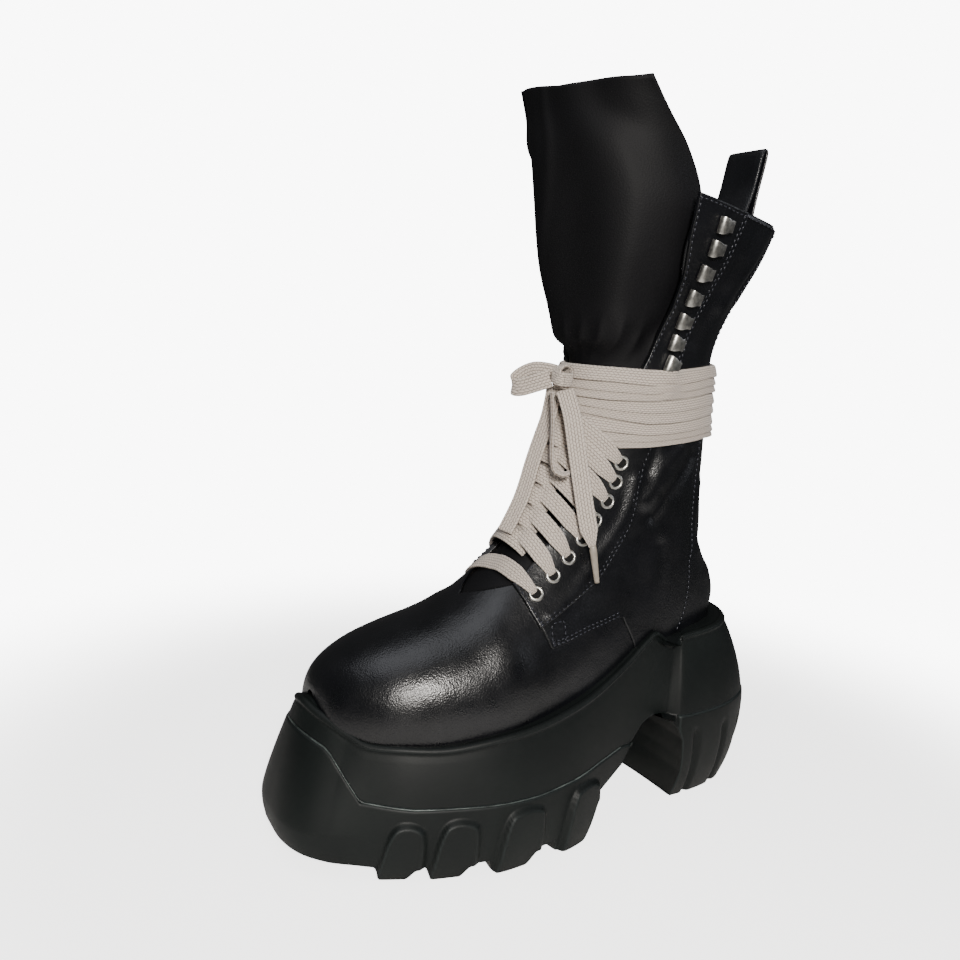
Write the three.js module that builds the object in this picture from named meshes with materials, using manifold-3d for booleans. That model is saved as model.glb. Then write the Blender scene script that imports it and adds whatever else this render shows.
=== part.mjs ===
// Platform boot, left foot. Millimetres, +Z up, toe toward -Y, outer (lateral) side +X, floor at z = 0.
import * as THREE from "three";
import { mergeVertices } from "three/addons/utils/BufferGeometryUtils.js";
import Module from "manifold-3d";

// ---- driving dimensions ----
const CENTRE_X = -0.29; // moves the outline's middle to x = 0
const CENTRE_Y = 4.54; // moves the outline's middle to y = 0
const GAP = 0.3; // clearance between neighbouring pieces
const WALL = 2.2; // leather wall of the upper
const AROUND = 28; // points round each section of the upper
const PER_STATION = 1.2; // sections lofted per station of the upper
const INSOLE_THICK = 4;
const LUG_PROUD = 3.8; // how far the side lugs stand out of the outsole wall
const LUG_DEEP = 24; // how far a lug runs in under the sole
const LUG_CEILING = 39; // highest point a lug's top may reach
const LUG_LEAN = 3; // how far a lug's front edge leans back at its top
const RIM_LIP = 7; // width of the midsole's flat lip behind its rim
const TUCK_ROUND = 2.2; // how late the wall tucks in toward the floor
const FAR = 400; // half size of the cutting blocks
const EYELETS = 8; // on each side, below the lace wrapped round the ankle
const EYELET_OUTER = 4.8;
const EYELET_INNER = 2.9;
const EYELET_TALL = 1.4;
const EYELET_LIFT = 0.5; // clearance of its flange from the leather
const EYELET_FIRST = 9.42; // station of the lowest eyelet
const EYELET_STEP = 0.67; // stations from one eyelet to the next
const HOOKS = 7; // on each side, above the lace wrapped round the ankle
const HOOK_FIRST = 18.32;
const HOOK_STEP = 0.62; // stations from the lowest hook to the next, a little less each time
const HOOK_CLOSING = 0.0167;
const HOOK_WIDE = 9.4;
const HOOK_LIFT = 0.65; // clearance of its base plate from the leather
const LACE_WIDE = 10.5;
const LACE_THICK = 2.4;
const LACE_STEPS = 4;
const LACE_RISE = 0.45; // how far a crossing climbs, in eyelet steps
const THROAT_TURN = 0.38; // turn of the throat's edges at the crossings
const CROSSING_LIFT = { outer: [3.9, 4.4, 1], inner: [3.9, 2.4, 1] }; // at the eyelet, middle and far edge
const BAR_LIFT = 3.9; // of the lowest lace, off the leather
const BAR_SLANT = 0.3; // stations by which its inner end sits lower
const WRAP_LOW = 226.5; // heights at y = 0
const WRAP_HIGH = 273;
const WRAP_RISE = [0.085, 0.06]; // of its lower and upper edge toward the back
const WRAP_INNER = 0.7; // clearance of the wrapped lace from the leather
const WRAP_OUTER = 3.7;
const ZIP_WIDE = 15;
const ZIP_THICK = 0.9;
const ZIP_TEETH_WIDE = 5;
const LOOP_WIDE = 30;
const LOOP_THICK = 2.2;
const LOOP_TOP = 414;
const LOOP_X = 3;
const LOOP_STEPS = 20;
const LOOP_CLEAR = 1.8; // clearance of its two legs from the curved back wall

// ---- short tables with named columns ----
// Stations of the upper along its bent spine. Each section plane holds a front point (fy, fz), a back
// point (gy, gz), the ridge x (cx), the outer and inner extremes (xl, xm), how far forward of the
// middle the widest line runs (mid), and the roundness of its four quarters (2 = elliptic).
const UPPER_COLUMNS = ["fy", "fz", "gy", "gz", "cx", "xl", "xm", "mid", "fl", "fm", "bl", "bm"];
const UPPER = [
  [-145.6, 88, -145.6, 44, -14, -7, -21, 0.0, 2.4, 2.4, 4, 4], // toe wall
  [-145.0, 92, -145.0, 44, -14, 2, -28, 0.0, 2.4, 2.4, 4, 4],
  [-142.5, 98, -142.5, 44, -13, 11, -35, -0.02, 2.4, 2.4, 4, 4],
  [-137.0, 104.5, -137.0, 44, -12, 19.5, -41, -0.04, 2.4, 2.4, 4, 4],
  [-128.0, 111, -128.0, 44, -10, 29, -46.5, -0.06, 2.4, 2.4, 4, 4],
  [-115.0, 118, -115.0, 44, -8, 38, -50.5, -0.08, 2.35, 2.35, 4, 4],
  [-97.0, 125, -97.0, 44, -5, 45.5, -52.5, -0.1, 2.3, 2.3, 4, 4], // ball, inner side
  [-76.0, 132.5, -74.0, 44, -2, 51.5, -52, -0.12, 2.2, 2.25, 4, 4],
  [-58.0, 143, -48.0, 45, 1, 54.5, -48.5, -0.16, 2.1, 2.2, 4, 4], // ball, outer side
  [-43.0, 157, -15.0, 50, 3, 52, -44, -0.2, 1.9, 2.1, 3.6, 3.6], // throat
  [-30.0, 174, 22.0, 61, 4, 46.5, -39.5, -0.22, 1.85, 2.0, 3.4, 3.4], // instep
  [-20.0, 192, 60.0, 71, 4, 41.5, -36, -0.2, 1.85, 2.0, 3.0, 3.0],
  [-12.0, 210, 95.0, 78, 3, 38.5, -35, -0.1, 1.85, 2.0, 2.6, 2.6], // heel seat
  [-5.0, 227, 125.0, 92, 3, 36.5, -34.5, 0.0, 1.85, 2.0, 2.3, 2.3],
  [0.0, 242, 129.5, 120, 2, 36, -34.5, 0.06, 1.9, 2.0, 2.2, 2.2],
  [3.5, 254, 119.0, 150, 2, 36, -35, 0.08, 1.9, 2.0, 2.1, 2.1], // ankle
  [6.0, 265, 111.5, 182, 1, 36.5, -35.5, 0.06, 1.95, 2.0, 2.1, 2.1],
  [7.0, 276, 108.5, 218, 1, 36.5, -36.5, 0.02, 2.0, 2.1, 2.1, 2.1],
  [7.0, 288, 107.5, 250, 1, 37, -37.5, 0.0, 2.0, 2.2, 2.1, 2.1],
  [6.0, 301, 104.0, 283, 2, 39, -38.5, -0.05, 2.0, 2.5, 2.2, 2.1], // shaft over the wrap
  [3.0, 321, 107.0, 312, 4, 46, -40.5, -0.1, 2.05, 3.0, 2.6, 2.2],
  [-1.0, 347, 116.0, 343, 6, 56, -43, -0.14, 2.3, 3.6, 3.2, 2.3],
  [-4.0, 374, 122.0, 372, 7, 63, -46, -0.16, 2.5, 4.0, 3.6, 2.4],
  [-6.0, 398, 126.0, 396, 7, 67, -48, -0.16, 2.5, 4.0, 3.8, 2.4], // above the collar cut
];
const STATION_LAST = UPPER.length - 1;

// The sole seen from above, from the toe tip round the outer side, the heel and the inner side:
// rim (rx, ry, rz), widest line of the wall (wx, wy) and the edge it tucks in to at the floor (bx, by).
const SOLE_COLUMNS = ["rx", "ry", "rz", "wx", "wy", "bx", "by"];
const SOLE = [
  [-14, -149, 84.5, -14, -166, -14, -157],
  [-2, -146.5, 82.5, 4, -166, 2, -157],
  [9, -141.5, 79.5, 19, -161, 16, -153],
  [19, -135.5, 75.5, 29.5, -150, 26, -144],
  [29, -128.5, 72, 38, -135, 34, -131],
  [40.5, -113, 72, 49, -116, 44, -113],
  [50, -91, 72, 58, -92, 53, -90],
  [56.5, -65, 75.5, 65, -64, 60, -64],
  [58, -39, 79, 65, -37, 60, -38],
  [55, -12, 84.5, 61, -9, 57, -11],
  [50, 9, 90, 54.5, 12, 50, 11],
  [45.5, 32, 101, 47.5, 34, 44, 34],
  [42.5, 49, 112, 43.5, 51, 40, 52],
  [41, 58, 115.5, 43, 60, 39, 61],
  [40.5, 71, 107.5, 44.5, 68, 37, 73],
  [40.5, 82, 111.5, 50.5, 78, 37.5, 84],
  [40, 98, 113, 50.5, 100, 37, 101],
  [36, 114, 114.5, 46.5, 124, 34, 121],
  [25.5, 128, 116, 34, 146, 27, 138],
  [8, 135.5, 117, 10, 157, 9, 147],
  [-12, 132.5, 116.5, -15, 153.5, -12, 144.5],
  [-27, 121.5, 115, -35, 137, -27, 131],
  [-34.5, 104, 113, -45, 108, -33, 107],
  [-36.5, 82, 111.5, -45.5, 79, -34, 84],
  [-37, 71, 107.5, -40, 69, -34, 73],
  [-38, 57, 115.5, -39.5, 60, -36, 60],
  [-40, 36, 103, -41.5, 37, -38, 37],
  [-43, 10, 91, -47, 11, -43, 11],
  [-48, -18, 83.5, -54.5, -17, -50, -17],
  [-53.5, -50, 77.5, -61, -50, -57, -50],
  [-56, -84, 73, -64.5, -86, -60, -85],
  [-55, -110, 72, -64.5, -114, -60, -112],
  [-49, -129, 72.5, -59.5, -138, -55, -134],
  [-40, -140, 76, -50, -154, -46, -147],
  [-28, -147, 81.5, -33, -163.5, -31, -155],
];
const WIDEST_Z = [[-170, 24], [-100, 28], [0, 32], [45, 50], [80, 56], [170, 56]]; // y, height
const FOOTBED = [[-170, 58], [-140, 54], [-110, 50.5], [-60, 50], [-25, 55], [10, 66], [45, 78],
  [80, 86], [110, 88.5], [170, 89]]; // y, height of the floor the insole lies on
// Side lines in (y, z): the top of the outsole with its toe shield, the arch, the top of the heel.
const SHIELD = [[-200, 73], [-156, 71], [-147, 66.5], [-134.5, 43], [-110, 40.5], [-40, 40.5], [-12, 43],
  [8, 46], [46, 52]];
const ARCH = [[-4, 8], [2, 19], [9, 27], [20, 32], [31, 37], [40, 48], [50, 58], [60, 62], [70, 62]];
const RIM_ROUND = [[-150, 1.2], [-112, 1.7]]; // y, how fully the wall swells out below the rim
const TREAD_END = 38; // where the outsole's thin back edge is cut off under the waist
const TREAD_END_TOP = 47.9; // height of that edge
const ARCH_FRONT = -4; // y where the arch leaves the floor
const HEEL_TOP = [[70, 61], [105, 62], [170, 66]];
const HEEL_BREAST = [[84, 0], [83, 20], [78, 45], [70, 61]];
const TOE_SPRING = [[-200, 15], [-166, 11.5], [-150, 9], [-125, 8], [-4, 8]];
// Forefoot lugs: y of the front and back edge at the floor, and height of the arched top.
const LUGS_OUTER = [[-126, -116, 35], [-102, -88, 35], [-66, -44, 36], [-21, 1, 33]];
const LUGS_INNER = [[-133, -121, 35], [-105, -90, 35], [-72, -54, 36], [-35, -14, 33]];
const BARS = [[-108, -98], [-78, -66], [-46, -34]]; // middle tread bars, y from and to
const BAR_ENDS = [-20, 22]; // x from and to
const BAR_TALL = 20;
const BAR_DRAFT = 1.5;
// Heel grooves: y on the outer wall at the floor, and how far each leans back to its top.
const HEEL_GROOVES = [110, 138];
const HEEL_GROOVE_LEAN = -9;
const HEEL_GROOVE_DEEP = 3.2;
const HEEL_GROOVE_TOP = 52;
const HEEL_GROOVE_WIDE = 4;
// Throat opening in (x, z), outer edge upward then inner edge downward.
const THROAT = [[20, 144], [25, 150], [23, 175], [23, 200], [24.5, 225], [28, 250], [32.3, 275], [36.7, 296],
  [47.6, 327], [59.1, 365], [63, 376], [68, 420], [-40, 420], [-40, 372], [-34, 350], [-30, 310], [-26, 275],
  [-21, 245], [-17.5, 222], [-17.5, 150], [-14, 144]];
const THROAT_BACK_Y = 62;
// The collar is cut by a plane: its height over the origin, and its fall toward the outer side and the back.
const COLLAR_Z = 382.5;
const COLLAR_FALL_X = 0.045;
const COLLAR_FALL_Y = 0.186;
// Tongue seen from above at each height: outer edge (ox, oy), two bends in front (ax, ay), (bx, by)
// and inner edge (ix, iy). Below the first of these it follows the inside of the upper.
const TONGUE_COLUMNS = ["z", "ox", "oy", "ax", "ay", "bx", "by", "ix", "iy"];
const TONGUE = [
  [291, 31, 42, 24, 12, -17, 3.5, -29.5, 33],
  [312, 35, 47, 28, 11, -20, -0.5, -31.5, 30],
  [340, 43, 51, 36, 9, -22, -7, -34, 22],
  [370, 49, 50, 40, 6, -20, -13, -36, 13],
  [397, 48, 38, 34, -2, -16, -17, -46, -5],
  [418, 50, 16, 27, -7, -15, -18, -49, -8],
  [440, 50, -4, 22, -14, -16, -22, -50, -15],
];
const TONGUE_LOW = [8.6, 9.6, 10.8, 12.2, 13.8, 15.6, 17.4]; // stations it follows inside the upper
const TONGUE_HALF = [24, 26, 28, 29, 30, 31, 33]; // half width at those stations
const TONGUE_THICK = 2.2;
const TONGUE_TOP = [[-60, 434.5], [-48, 433], [0, 427.5], [60, 429]]; // x, height of its cut top edge

// ---- materials ----
const leather = new THREE.MeshStandardMaterial({ name: "leather", color: "#15161a", roughness: 0.45 });
const rubber = new THREE.MeshStandardMaterial({ name: "rubber", color: "#1d2222", roughness: 0.75 });
const lining = new THREE.MeshStandardMaterial({ name: "insole_leather", color: "#2a2624", roughness: 0.8 });
const nickel = new THREE.MeshStandardMaterial({
  name: "nickel", color: "#b9b9b6", roughness: 0.3, metalness: 1,
});
const cotton = new THREE.MeshStandardMaterial({ name: "lace_cotton", color: "#aba198", roughness: 0.95 });
const tape = new THREE.MeshStandardMaterial({ name: "zip_tape", color: "#17171a", roughness: 0.9 });

// ---- closed bodies: joining and cutting ----
const wasm = await Module();
wasm.setup();

// A closed body from a surface whose neighbouring triangles meet at equal points.
function bodyOf(geometry) {
  const bare = geometry.clone();
  bare.deleteAttribute("normal");
  bare.deleteAttribute("uv");
  const merged = facingOut(mergeVertices(bare, 1e-4));
  const vertProperties = new Float32Array(merged.attributes.position.array);
  const triVerts = new Uint32Array(merged.index.array);
  return new wasm.Manifold(new wasm.Mesh({ numProp: 3, vertProperties, triVerts }));
}

function geometryOf(body) {
  const mesh = body.getMesh();
  const geometry = new THREE.BufferGeometry();
  geometry.setAttribute("position", new THREE.BufferAttribute(new Float32Array(mesh.vertProperties), 3));
  geometry.setIndex(new THREE.BufferAttribute(new Uint32Array(mesh.triVerts), 1));
  const flat = geometry.toNonIndexed();
  flat.computeVertexNormals();
  return flat;
}

const joined = (bodies) => bodies.reduce((all, body) => all.add(body));

// Side triangles between neighbouring rings of n points.
function sideIndex(rings) {
  const n = rings[0].length;
  const index = [];
  for (let r = 0; r + 1 < rings.length; r++) {
    for (let i = 0; i < n; i++) {
      const [a, b] = [r * n + i, r * n + ((i + 1) % n)];
      index.push(a, b, a + n, b, b + n, a + n);
    }
  }
  return index;
}

function surfaceOf(points, index) {
  const geometry = new THREE.BufferGeometry().setFromPoints(points);
  geometry.setIndex(index);
  return geometry;
}

// A body through rings (arrays of Vector3, same length), each end closed with a fan round its middle.
function loft(rings) {
  const n = rings[0].length;
  const middle = (ring) => ring.reduce((sum, p) => sum.add(p), new THREE.Vector3()).divideScalar(n);
  const [start, end, top] = [rings.length * n, rings.length * n + 1, (rings.length - 1) * n];
  const index = sideIndex(rings);
  for (let i = 0; i < n; i++) {
    const next = (i + 1) % n;
    index.push(start, next, i, end, top + i, top + next);
  }
  return bodyOf(surfaceOf([...rings.flat(), middle(rings[0]), middle(rings[rings.length - 1])], index));
}

// A body through rings that look alike from above, each end closed flat over its own outline.
function flatCapped(rings) {
  const outline = (ring) => ring.map((p) => new THREE.Vector2(p.x, p.y));
  const clockwise = THREE.ShapeUtils.isClockWise(outline(rings[0]));
  const index = sideIndex(rings);
  for (const [ring, flip] of [[0, !clockwise], [rings.length - 1, clockwise]]) {
    const first = ring * rings[0].length;
    for (const [a, b, c] of THREE.ShapeUtils.triangulateShape(outline(rings[ring]), [])) {
      index.push(first + a, first + (flip ? c : b), first + (flip ? b : c));
    }
  }
  return bodyOf(surfaceOf(rings.flat(), index));
}

// A body through rings that are thin curved strips: a front row and the back row in reverse.
function sheetLoft(rings) {
  const n = rings[0].length;
  const top = (rings.length - 1) * n;
  const index = sideIndex(rings);
  for (let i = 0; i + 1 < n / 2; i++) {
    const [a, b, c, d] = [i, i + 1, n - 1 - i, n - 2 - i];
    index.push(a, c, b, b, c, d, top + a, top + b, top + c, top + b, top + d, top + c);
  }
  return bodyOf(surfaceOf(rings.flat(), index));
}

// The same geometry with its triangles turned outward.
function facingOut(geometry) {
  const at = geometry.attributes.position;
  const index = Array.from(geometry.index.array);
  const [a, b, c] = [new THREE.Vector3(), new THREE.Vector3(), new THREE.Vector3()];
  let volume = 0;
  for (let k = 0; k < index.length; k += 3) {
    a.fromBufferAttribute(at, index[k]);
    b.fromBufferAttribute(at, index[k + 1]);
    c.fromBufferAttribute(at, index[k + 2]);
    volume += a.dot(b.cross(c));
  }
  if (volume < 0) index.reverse();
  geometry.setIndex(index);
  return geometry;
}

// A block that runs across the whole boot, from an outline in (y, z).
function acrossX(outline, from = -FAR, to = FAR) {
  const shape = new THREE.Shape(outline.map(([y, z]) => new THREE.Vector2(y, z)));
  const block = new THREE.ExtrudeGeometry(shape, { depth: to - from, bevelEnabled: false });
  block.rotateX(Math.PI / 2).rotateZ(Math.PI / 2).translate(from, 0, 0);
  return bodyOf(block);
}

// A block that runs front to back, from an outline in (x, z).
function alongY(outline, from, to) {
  const shape = new THREE.Shape(outline.map(([x, z]) => new THREE.Vector2(x, z)));
  const block = new THREE.ExtrudeGeometry(shape, { depth: to - from, bevelEnabled: false });
  block.rotateX(Math.PI / 2).translate(0, to, 0);
  return bodyOf(block);
}

// ---- smooth reading of the tables ----
function cubic(a, b, c, d, t) {
  const [p, q] = [(c - a) / 2, (d - b) / 2];
  return b + t * (p + t * (3 * (c - b) - 2 * p - q + t * (2 * (b - c) + p + q)));
}

function reading(table, column, t, closed = false) {
  const n = table.length;
  const k = closed ? Math.floor(t) : Math.min(Math.max(Math.floor(t), 0), n - 2);
  const row = (i) => table[closed ? ((i % n) + n) % n : Math.min(Math.max(i, 0), n - 1)][column];
  return cubic(row(k - 1), row(k), row(k + 1), row(k + 2), t - k);
}

function station(table, columns, t, closed) {
  return Object.fromEntries(columns.map((name, k) => [name, reading(table, k, t, closed)]));
}

function along(line, x) {
  let k = 0;
  while (k < line.length - 2 && x > line[k + 1][0]) k++;
  const [[x0, z0], [x1, z1]] = [line[k], line[k + 1]];
  const part = Math.min(Math.max((x - x0) / (x1 - x0), 0), 1);
  return z0 + (z1 - z0) * part;
}

// ---- form of the upper ----
const power = (value, exponent) => Math.sign(value) * Math.abs(value) ** exponent;

// Point on the outer form: t runs over the stations, turn goes front, outer side, back, inner side.
function formPoint(t, turn) {
  const s = station(UPPER, UPPER_COLUMNS, t);
  const [c, v] = [Math.cos(turn), Math.sin(turn)];
  const front = c >= 0;
  const round = v >= 0 ? (front ? s.fl : s.bl) : (front ? s.fm : s.bm);
  const u = front ? s.mid + (1 - s.mid) * power(c, 2 / round) : s.mid + (1 + s.mid) * power(c, 2 / round);
  const out = power(v, 2 / round) * (v >= 0 ? s.xl - s.cx : s.cx - s.xm);
  const [my, mz] = [(s.fy + s.gy) / 2, (s.fz + s.gz) / 2];
  return new THREE.Vector3(s.cx + out, my + (u * (s.fy - s.gy)) / 2, mz + (u * (s.fz - s.gz)) / 2);
}

function formNormal(t, turn) {
  const [dt, da] = [0.04, 0.03];
  const along1 = formPoint(Math.min(t + dt, STATION_LAST), turn).sub(formPoint(Math.max(t - dt, 0), turn));
  const round1 = formPoint(t, turn + da).sub(formPoint(t, turn - da));
  return round1.cross(along1).normalize();
}

// Closed body of the form grown by a distance (negative inside the wall).
function formBody(grow) {
  const rings = [];
  const steps = Math.round(STATION_LAST * PER_STATION);
  for (let k = 0; k <= steps; k++) {
    const t = (STATION_LAST * k) / steps;
    const ring = [];
    for (let i = 0; i < AROUND; i++) {
      const turn = (2 * Math.PI * i) / AROUND;
      const point = formPoint(t, turn).addScaledVector(formNormal(t, turn), grow);
      if (k === 0) point.y -= grow;
      ring.push(point);
    }
    rings.push(ring);
  }
  return loft(rings);
}

const aboveBed = (lift) =>
  acrossX([...FOOTBED.map(([y, z]) => [y, z + lift]), [170, FAR], [-170, FAR]]);

function collarCut() {
  const block = new THREE.BoxGeometry(2 * FAR, 2 * FAR, FAR).translate(0, 0, FAR / 2);
  const up = new THREE.Vector3(COLLAR_FALL_X, COLLAR_FALL_Y, 1).normalize();
  block.applyQuaternion(new THREE.Quaternion().setFromUnitVectors(new THREE.Vector3(0, 0, 1), up));
  return bodyOf(block.translate(0, 0, COLLAR_Z));
}

function makeUpper() {
  const wall = formBody(0).subtract(formBody(-WALL));
  const open = wall.intersect(aboveBed(GAP)).subtract(collarCut());
  return open.subtract(alongY(THROAT, -FAR, THROAT_BACK_Y));
}

function makeInsole() {
  const slab = aboveBed(GAP).subtract(aboveBed(GAP + INSOLE_THICK));
  return formBody(-WALL - GAP).intersect(slab);
}

// ---- sole ----
const SOLE_STEPS = Math.round(SOLE.length * 1.25);

function soleBody(grow) {
  const [swelling, tucking] = [[0, 0.15, 0.45, 1], [0.5, 0.8, 1]]; // shares of the way down each half
  const place = (k) => station(SOLE, SOLE_COLUMNS, (k * SOLE.length) / SOLE_STEPS, true);
  const stops = Array.from({ length: SOLE_STEPS }, (_, k) => place(k));
  const outward = stops.map((s, k) => {
    const [next, last] = [stops[(k + 1) % SOLE_STEPS], stops[(k + SOLE_STEPS - 1) % SOLE_STEPS]];
    return new THREE.Vector3(-(next.wy - last.wy), next.wx - last.wx, 0).normalize().negate();
  });
  const ringAt = (pick) => stops.map((s, k) => pick(s).addScaledVector(outward[k], grow));
  const lip = (s, k) => new THREE.Vector3(s.rx, s.ry, s.rz).addScaledVector(outward[k], -RIM_LIP);
  const rings = [stops.map(lip)];
  for (const t of swelling) {
    rings.push(ringAt((s) => {
      const out = 1 - (1 - t) ** along(RIM_ROUND, s.wy);
      const [x, y] = [s.rx + (s.wx - s.rx) * out, s.ry + (s.wy - s.ry) * out];
      return new THREE.Vector3(x, y, s.rz + (along(WIDEST_Z, s.wy) - s.rz) * t);
    }));
  }
  for (const t of tucking) {
    const tuck = t ** TUCK_ROUND;
    rings.push(ringAt((s) => new THREE.Vector3(
      s.wx + (s.bx - s.wx) * tuck, s.wy + (s.by - s.wy) * tuck, along(WIDEST_Z, s.wy) * (1 - t))));
  }
  return flatCapped(rings);
}

const raised = (line, lift) => line.map(([y, z]) => [y, z + lift]);

// Outlines in (y, z) of everything under the midsole.
function outsoleOutline(lift) {
  const back = ARCH.filter(([y, z]) => z < along(SHIELD, y));
  const top = [...SHIELD.filter(([y]) => y < TREAD_END), [TREAD_END + 1, TREAD_END_TOP]];
  return [...raised(top, lift), ...back.reverse(), [ARCH_FRONT, -9], [-200, -9]];
}

// One side's lug in (y, z), cut square across that half of the boot.
function lugBlock(side, [front, back, top]) {
  const outline = [[front, -1], [front + 0.5, top * 0.35], [front + LUG_LEAN, top * 0.75],
    [front + 2 * LUG_LEAN, top], [back, top], [back + LUG_LEAN, top * 0.8], [back + LUG_LEAN, top * 0.4],
    [back, -1]];
  return acrossX(outline, Math.min(0, side * FAR), Math.max(0, side * FAR));
}

function makeSole() {
  const body = soleBody(0);
  const cavity = formBody(GAP).intersect(aboveBed(0));
  const floor = acrossX([...TOE_SPRING, [ARCH_FRONT, -50], [-200, -50]]);
  const under = acrossX(outsoleOutline(0));
  const underWide = acrossX(outsoleOutline(GAP));
  const behind = acrossX([...ARCH, ...raised(HEEL_TOP, GAP), [200, 66], [200, -50], [ARCH_FRONT, -50]]);
  const heelBlock = acrossX([...HEEL_BREAST, ...HEEL_TOP.slice(1), [200, 66], [200, 0], [84, 0]]);
  const midsole = body.subtract(cavity).subtract(underWide).subtract(behind);
  const waist = acrossX([[TREAD_END, 0], [FAR, 0], [FAR, FAR], [TREAD_END, FAR]]);
  const tread = body.subtract(cavity).intersect(under).subtract(floor).subtract(waist);
  return { midsole, outsole: joined([tread, ...makeLugs()]), heel: makeHeel(body.intersect(heelBlock)) };
}

function makeLugs() {
  const proud = soleBody(LUG_PROUD);
  const inner = soleBody(-LUG_DEEP);
  const ground = acrossX([[-200, 0], [200, 0], [200, LUG_CEILING], [-200, LUG_CEILING]]);
  const shell = proud.subtract(inner).intersect(ground);
  const outerLugs = LUGS_OUTER.map((lug) => shell.intersect(lugBlock(1, lug)));
  const innerLugs = LUGS_INNER.map((lug) => shell.intersect(lugBlock(-1, lug)));
  const bars = BARS.map(([front, back]) => acrossX(
    [[front, 0], [back, 0], [back - BAR_DRAFT, BAR_TALL], [front + BAR_DRAFT, BAR_TALL]], ...BAR_ENDS));
  return [...outerLugs, ...innerLugs, ...bars];
}

function makeHeel(block) {
  const shell = soleBody(20).subtract(soleBody(-HEEL_GROOVE_DEEP));
  const [top, wide] = [HEEL_GROOVE_TOP, HEEL_GROOVE_WIDE];
  const cuts = HEEL_GROOVES.map((y) => acrossX([[y, -1], [y + wide, -1], [y + wide + HEEL_GROOVE_LEAN, top],
    [y + HEEL_GROOVE_LEAN + 1, top + 2]]));
  const backCut = alongY([[-4, -1], [2, -1], [4, top - 2], [1, top], [-2, top - 2]], 130, 200);
  return block.subtract(joined([...cuts, backCut]).intersect(shell));
}

// ---- tongue ----
const TONGUE_STEPS = 10;

// One row of points across the tongue at a station inside the upper, from the outer edge inward.
function lowRow(t, half) {
  const row = [];
  for (let i = 0; i <= TONGUE_STEPS; i++) {
    const share = 1 - (2 * i) / TONGUE_STEPS;
    const s = station(UPPER, UPPER_COLUMNS, t);
    const wide = share >= 0 ? s.xl - s.cx : s.cx - s.xm;
    const reach = Math.min((half / wide) * Math.abs(share), 0.93);
    const round = share >= 0 ? s.fl : s.fm;
    const turn = Math.sign(share) * Math.asin(reach ** (round / 2));
    row.push(formPoint(t, turn).addScaledVector(formNormal(t, turn), -(WALL + 4 * GAP)));
  }
  return row;
}

// The same for a height above the throat, from the table.
function highRow(k) {
  const s = station(TONGUE, TONGUE_COLUMNS, k);
  const bends = [[s.ox, s.oy], [s.ax, s.ay], [s.bx, s.by], [s.ix, s.iy]];
  const curve = new THREE.CatmullRomCurve3(bends.map(([x, y]) => new THREE.Vector3(x, y, s.z)));
  return curve.getSpacedPoints(TONGUE_STEPS);
}

function makeTongue() {
  const low = TONGUE_LOW.map((t, k) => lowRow(t, TONGUE_HALF[k]));
  const keys = [...low, ...TONGUE.map((row, k) => highRow(k))];
  const rows = Math.round((keys.length - 1) * 1.3);
  const sheet = [];
  for (let k = 0; k <= rows; k++) {
    const t = (k * (keys.length - 1)) / rows;
    const pick = (i) => keys.map((row) => [row[i].x, row[i].y, row[i].z]);
    const point = (i) => new THREE.Vector3(...[0, 1, 2].map((axis) => reading(pick(i), axis, t)));
    sheet.push(keys[0].map((_, i) => point(i)));
  }
  const normal = (k, i) => {
    const [up, down] = [sheet[Math.min(k + 1, rows)][i], sheet[Math.max(k - 1, 0)][i]];
    const [left, right] = [sheet[k][Math.max(i - 1, 0)], sheet[k][Math.min(i + 1, TONGUE_STEPS)]];
    return up.clone().sub(down).cross(right.clone().sub(left)).normalize();
  };
  const rings = sheet.map((row, k) => {
    const back = row.map((p, i) => p.clone().addScaledVector(normal(k, i), -TONGUE_THICK));
    return [...row, ...back.reverse()];
  });
  const over = [...TONGUE_TOP, [60, 600], [-70, 600]];
  return sheetLoft(rings).subtract(alongY(over, -FAR, FAR));
}

// ---- eyelets and hooks ----
// Turn of the eyelet and hook lines, at the lowest and at the highest, on the outer (1) and inner (-1) side.
const EYELET_TURN = { "1": [0.73, 0.94], "-1": [0.8, 1.0] };
const HOOK_TURN = { "1": [1.42, 1.48], "-1": [1.1, 1.16] };
const HOOK_SIDE_VIEW = [[-4.4, 0], [3.6, 0], [3.6, 0.9], [-3.2, 0.9], [-3.2, 3.6], [4.6, 3.2], [4.7, 4.2],
  [-3.4, 4.9], [-4.4, 3.9]]; // away from the throat, off the leather

function lineTurn(ends, k, count, side) {
  return side * (ends[side][0] + ((ends[side][1] - ends[side][0]) * k) / (count - 1));
}

// A frame standing on the outer form: origin lifted off it, z out of it, x away from the throat.
function standing(t, turn, lift) {
  const out = formNormal(t, turn);
  const at = formPoint(t, turn).addScaledVector(out, lift);
  const away = formPoint(t, turn + Math.sign(turn) * 0.05).sub(formPoint(t, turn));
  away.addScaledVector(out, -away.dot(out)).normalize();
  const up = out.clone().cross(away);
  return new THREE.Matrix4().makeBasis(away, up, out).setPosition(at);
}

function makeEyelet(k, side) {
  const [inner, outer] = [EYELET_INNER, EYELET_OUTER];
  const section = [[inner, 0.3], [outer, 0], [outer - 0.9, EYELET_TALL], [inner, 0.3]];
  const ring = new THREE.LatheGeometry(section.map(([r, z]) => new THREE.Vector2(r, z)), 8);
  ring.rotateX(Math.PI / 2);
  const turn = lineTurn(EYELET_TURN, k, EYELETS, side);
  return bodyOf(ring.applyMatrix4(standing(EYELET_FIRST + EYELET_STEP * k, turn, EYELET_LIFT)));
}

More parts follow.
